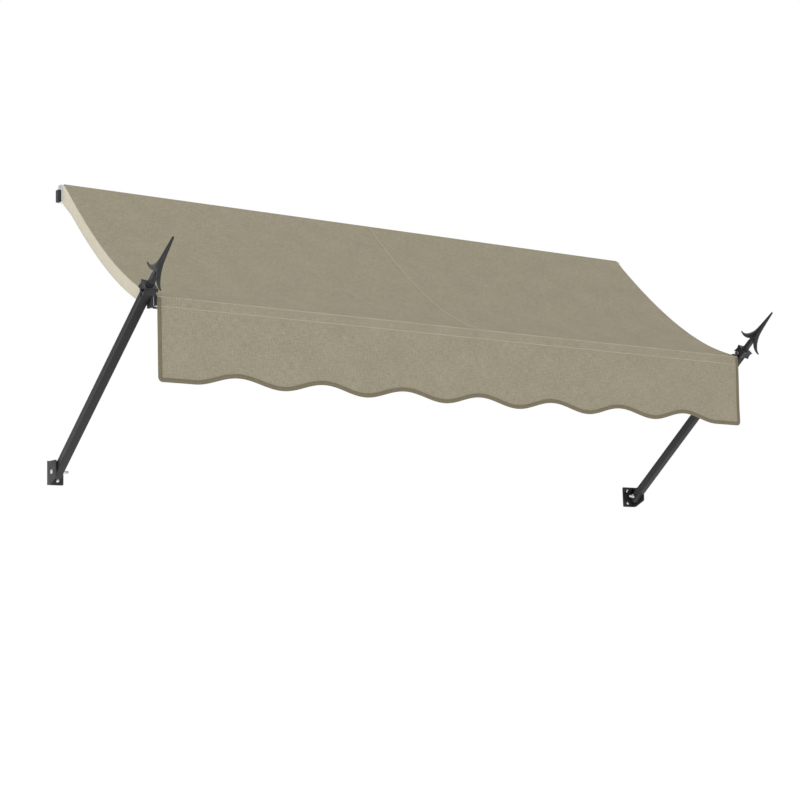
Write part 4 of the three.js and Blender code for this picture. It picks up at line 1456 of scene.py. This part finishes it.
@dataclass
class FrameParts:
    """The track, clips, bar, ribs and end blocks."""

    rounded: dict[str, tuple[str, Finish, float]] = field(default_factory=dict)

    def __post_init__(self) -> None:
        """Lists each rounded node with its new name, finish and rounding."""
        self.rounded = {
            "head_track": ("wall_track", ALUMINIUM, 0.35 * MM),
            "front_bar": ("front_tube", ALUMINIUM, 0.3 * MM),
        }
        for side in SIDES:
            self.rounded[f"track_cap_{side}"] = (f"track_end_cap_{side}", PLASTIC, 0.7 * MM)
            self.rounded[f"bar_end_plug_{side}"] = (f"bar_plug_{side}", PLASTIC, 0.5 * MM)
            self.rounded[f"bar_end_washer_{side}"] = (f"bar_shim_{side}", ZINC, 0.2 * MM)
            self.rounded[f"bar_end_spacer_{side}"] = (f"bar_spacer_{side}", PLASTIC, 0.7 * MM)

    def build(self) -> None:
        """Rounds the visible frame pieces and dresses the hidden ones."""
        for node, (name, finish, bevel) in self.rounded.items():
            softened_copy(node, name, finish, bevel=bevel)
        by_slot = {finish.slot.value: finish for finish in reversed(FINISHES)}
        slots = {part["node"]: part["material_slot"] for part in frame["record"]["subparts"]}
        for node, piece in frame["nodes"].items():
            finish = by_slot[slots[node]]
            piece.data.materials.clear()
            piece.data.materials.append(MATERIALS[finish.name])


# ------------------------------------------------------------------ stage
@dataclass
class Studio:
    """Pale floor, soft lights and the camera."""

    floor_z: float = -2.3
    camera_place: tuple[float, float, float] = (-3.563, -5.105, -1.4757)
    bearing: float = math.radians(35.85)
    pitch: float = math.radians(8.327)
    roll: float = math.radians(-1.68)
    focal: float = 84.47

    def floor(self) -> None:
        """Lays a wide pale floor."""
        shape = bmesh.new()
        bmesh.ops.create_grid(
            shape, x_segments=8, y_segments=8, size=60.0, matrix=Matrix.Translation((0, 0, self.floor_z))
        )
        mesh = bpy.data.meshes.new("floor")
        shape.to_mesh(mesh)
        shape.free()
        floor = bpy.data.objects.new("floor", mesh)
        bpy.context.scene.collection.objects.link(floor)
        material = bpy.data.materials.new("pale_floor")
        material.use_nodes = True
        shader = material.node_tree.nodes["Principled BSDF"]
        shader.inputs["Base Color"].default_value = (0.96, 0.96, 0.96, 1)
        shader.inputs["Roughness"].default_value = 0.9
        shader.inputs["Specular IOR Level"].default_value = 0.0
        shader.inputs["Emission Color"].default_value = (1, 1, 1, 1)
        shader.inputs["Emission Strength"].default_value = 0.18
        mesh.materials.append(material)

    def light(self, name: str, place: Vector, target: Vector, size: float, power: float) -> None:
        """Adds a square soft light that faces a target."""
        data = bpy.data.lights.new(name, "AREA")
        data.shape = "SQUARE"
        data.size = size
        data.energy = power
        lamp = bpy.data.objects.new(name, data)
        lamp.location = place
        lamp.rotation_euler = (target - place).to_track_quat("-Z", "Y").to_euler()
        bpy.context.scene.collection.objects.link(lamp)

    def sky(self) -> None:
        """White surroundings that shine a little less than they show."""
        world = bpy.data.worlds.new("white_studio")
        world.use_nodes = True
        nodes = Nodes(world.node_tree)
        world.node_tree.nodes.clear()
        path = nodes.add("ShaderNodeLightPath")
        shown = nodes.add("ShaderNodeBackground")
        shown.inputs["Color"].default_value = (1, 1, 1, 1)
        shown.inputs["Strength"].default_value = 1.0
        lit = nodes.add("ShaderNodeBackground")
        lit.inputs["Color"].default_value = (1, 1, 1, 1)
        lit.inputs["Strength"].default_value = 0.86
        mix = nodes.add("ShaderNodeMixShader")
        nodes.feed(mix.inputs[0], path.outputs["Is Camera Ray"])
        nodes.feed(mix.inputs[1], lit.outputs[0])
        nodes.feed(mix.inputs[2], shown.outputs[0])
        nodes.feed(nodes.add("ShaderNodeOutputWorld").inputs["Surface"], mix.outputs[0])
        bpy.context.scene.world = world

    def camera(self) -> None:
        """Sets the camera in front, to the left and below the awning."""
        data = bpy.data.cameras.new("camera")
        data.lens = self.focal
        data.sensor_width = 36
        data.clip_end = 200
        camera = bpy.data.objects.new("camera", data)
        look = Vector((
            math.sin(self.bearing) * math.cos(self.pitch),
            math.cos(self.bearing) * math.cos(self.pitch),
            math.sin(self.pitch),
        ))
        right = Vector((math.cos(self.bearing), -math.sin(self.bearing), 0))
        up = right.cross(look)
        turned_right = right * math.cos(self.roll) + up * math.sin(self.roll)
        turned_up = up * math.cos(self.roll) - right * math.sin(self.roll)
        basis = Matrix((turned_right, turned_up, -look)).transposed()
        camera.matrix_world = Matrix.Translation(self.camera_place) @ basis.to_4x4()
        bpy.context.scene.collection.objects.link(camera)
        bpy.context.scene.camera = camera

    def build(self) -> None:
        """Sets up the floor, surroundings, lights and camera."""
        self.camera()
        self.floor()
        self.sky()
        middle = Vector((0, -0.3, -0.4))
        self.light("key", Vector((-4.2, -4.6, 3.2)), middle, 3.0, 70)
        self.light("fill", Vector((4.5, -5.0, 1.0)), middle, 3.5, 8)
        bpy.context.scene.view_settings.view_transform = "Standard"


def main() -> None:
    """Builds the stage, then each sub-assembly in order."""
    logging.basicConfig(level=logging.INFO, format="%(name)s %(message)s")
    for part in (Studio(), Cover(), Arms(), Hardware(), FrameParts()):
        LOG.info("building %s", type(part).__name__)
        part.build()


if __name__ == "__main__":
    main()
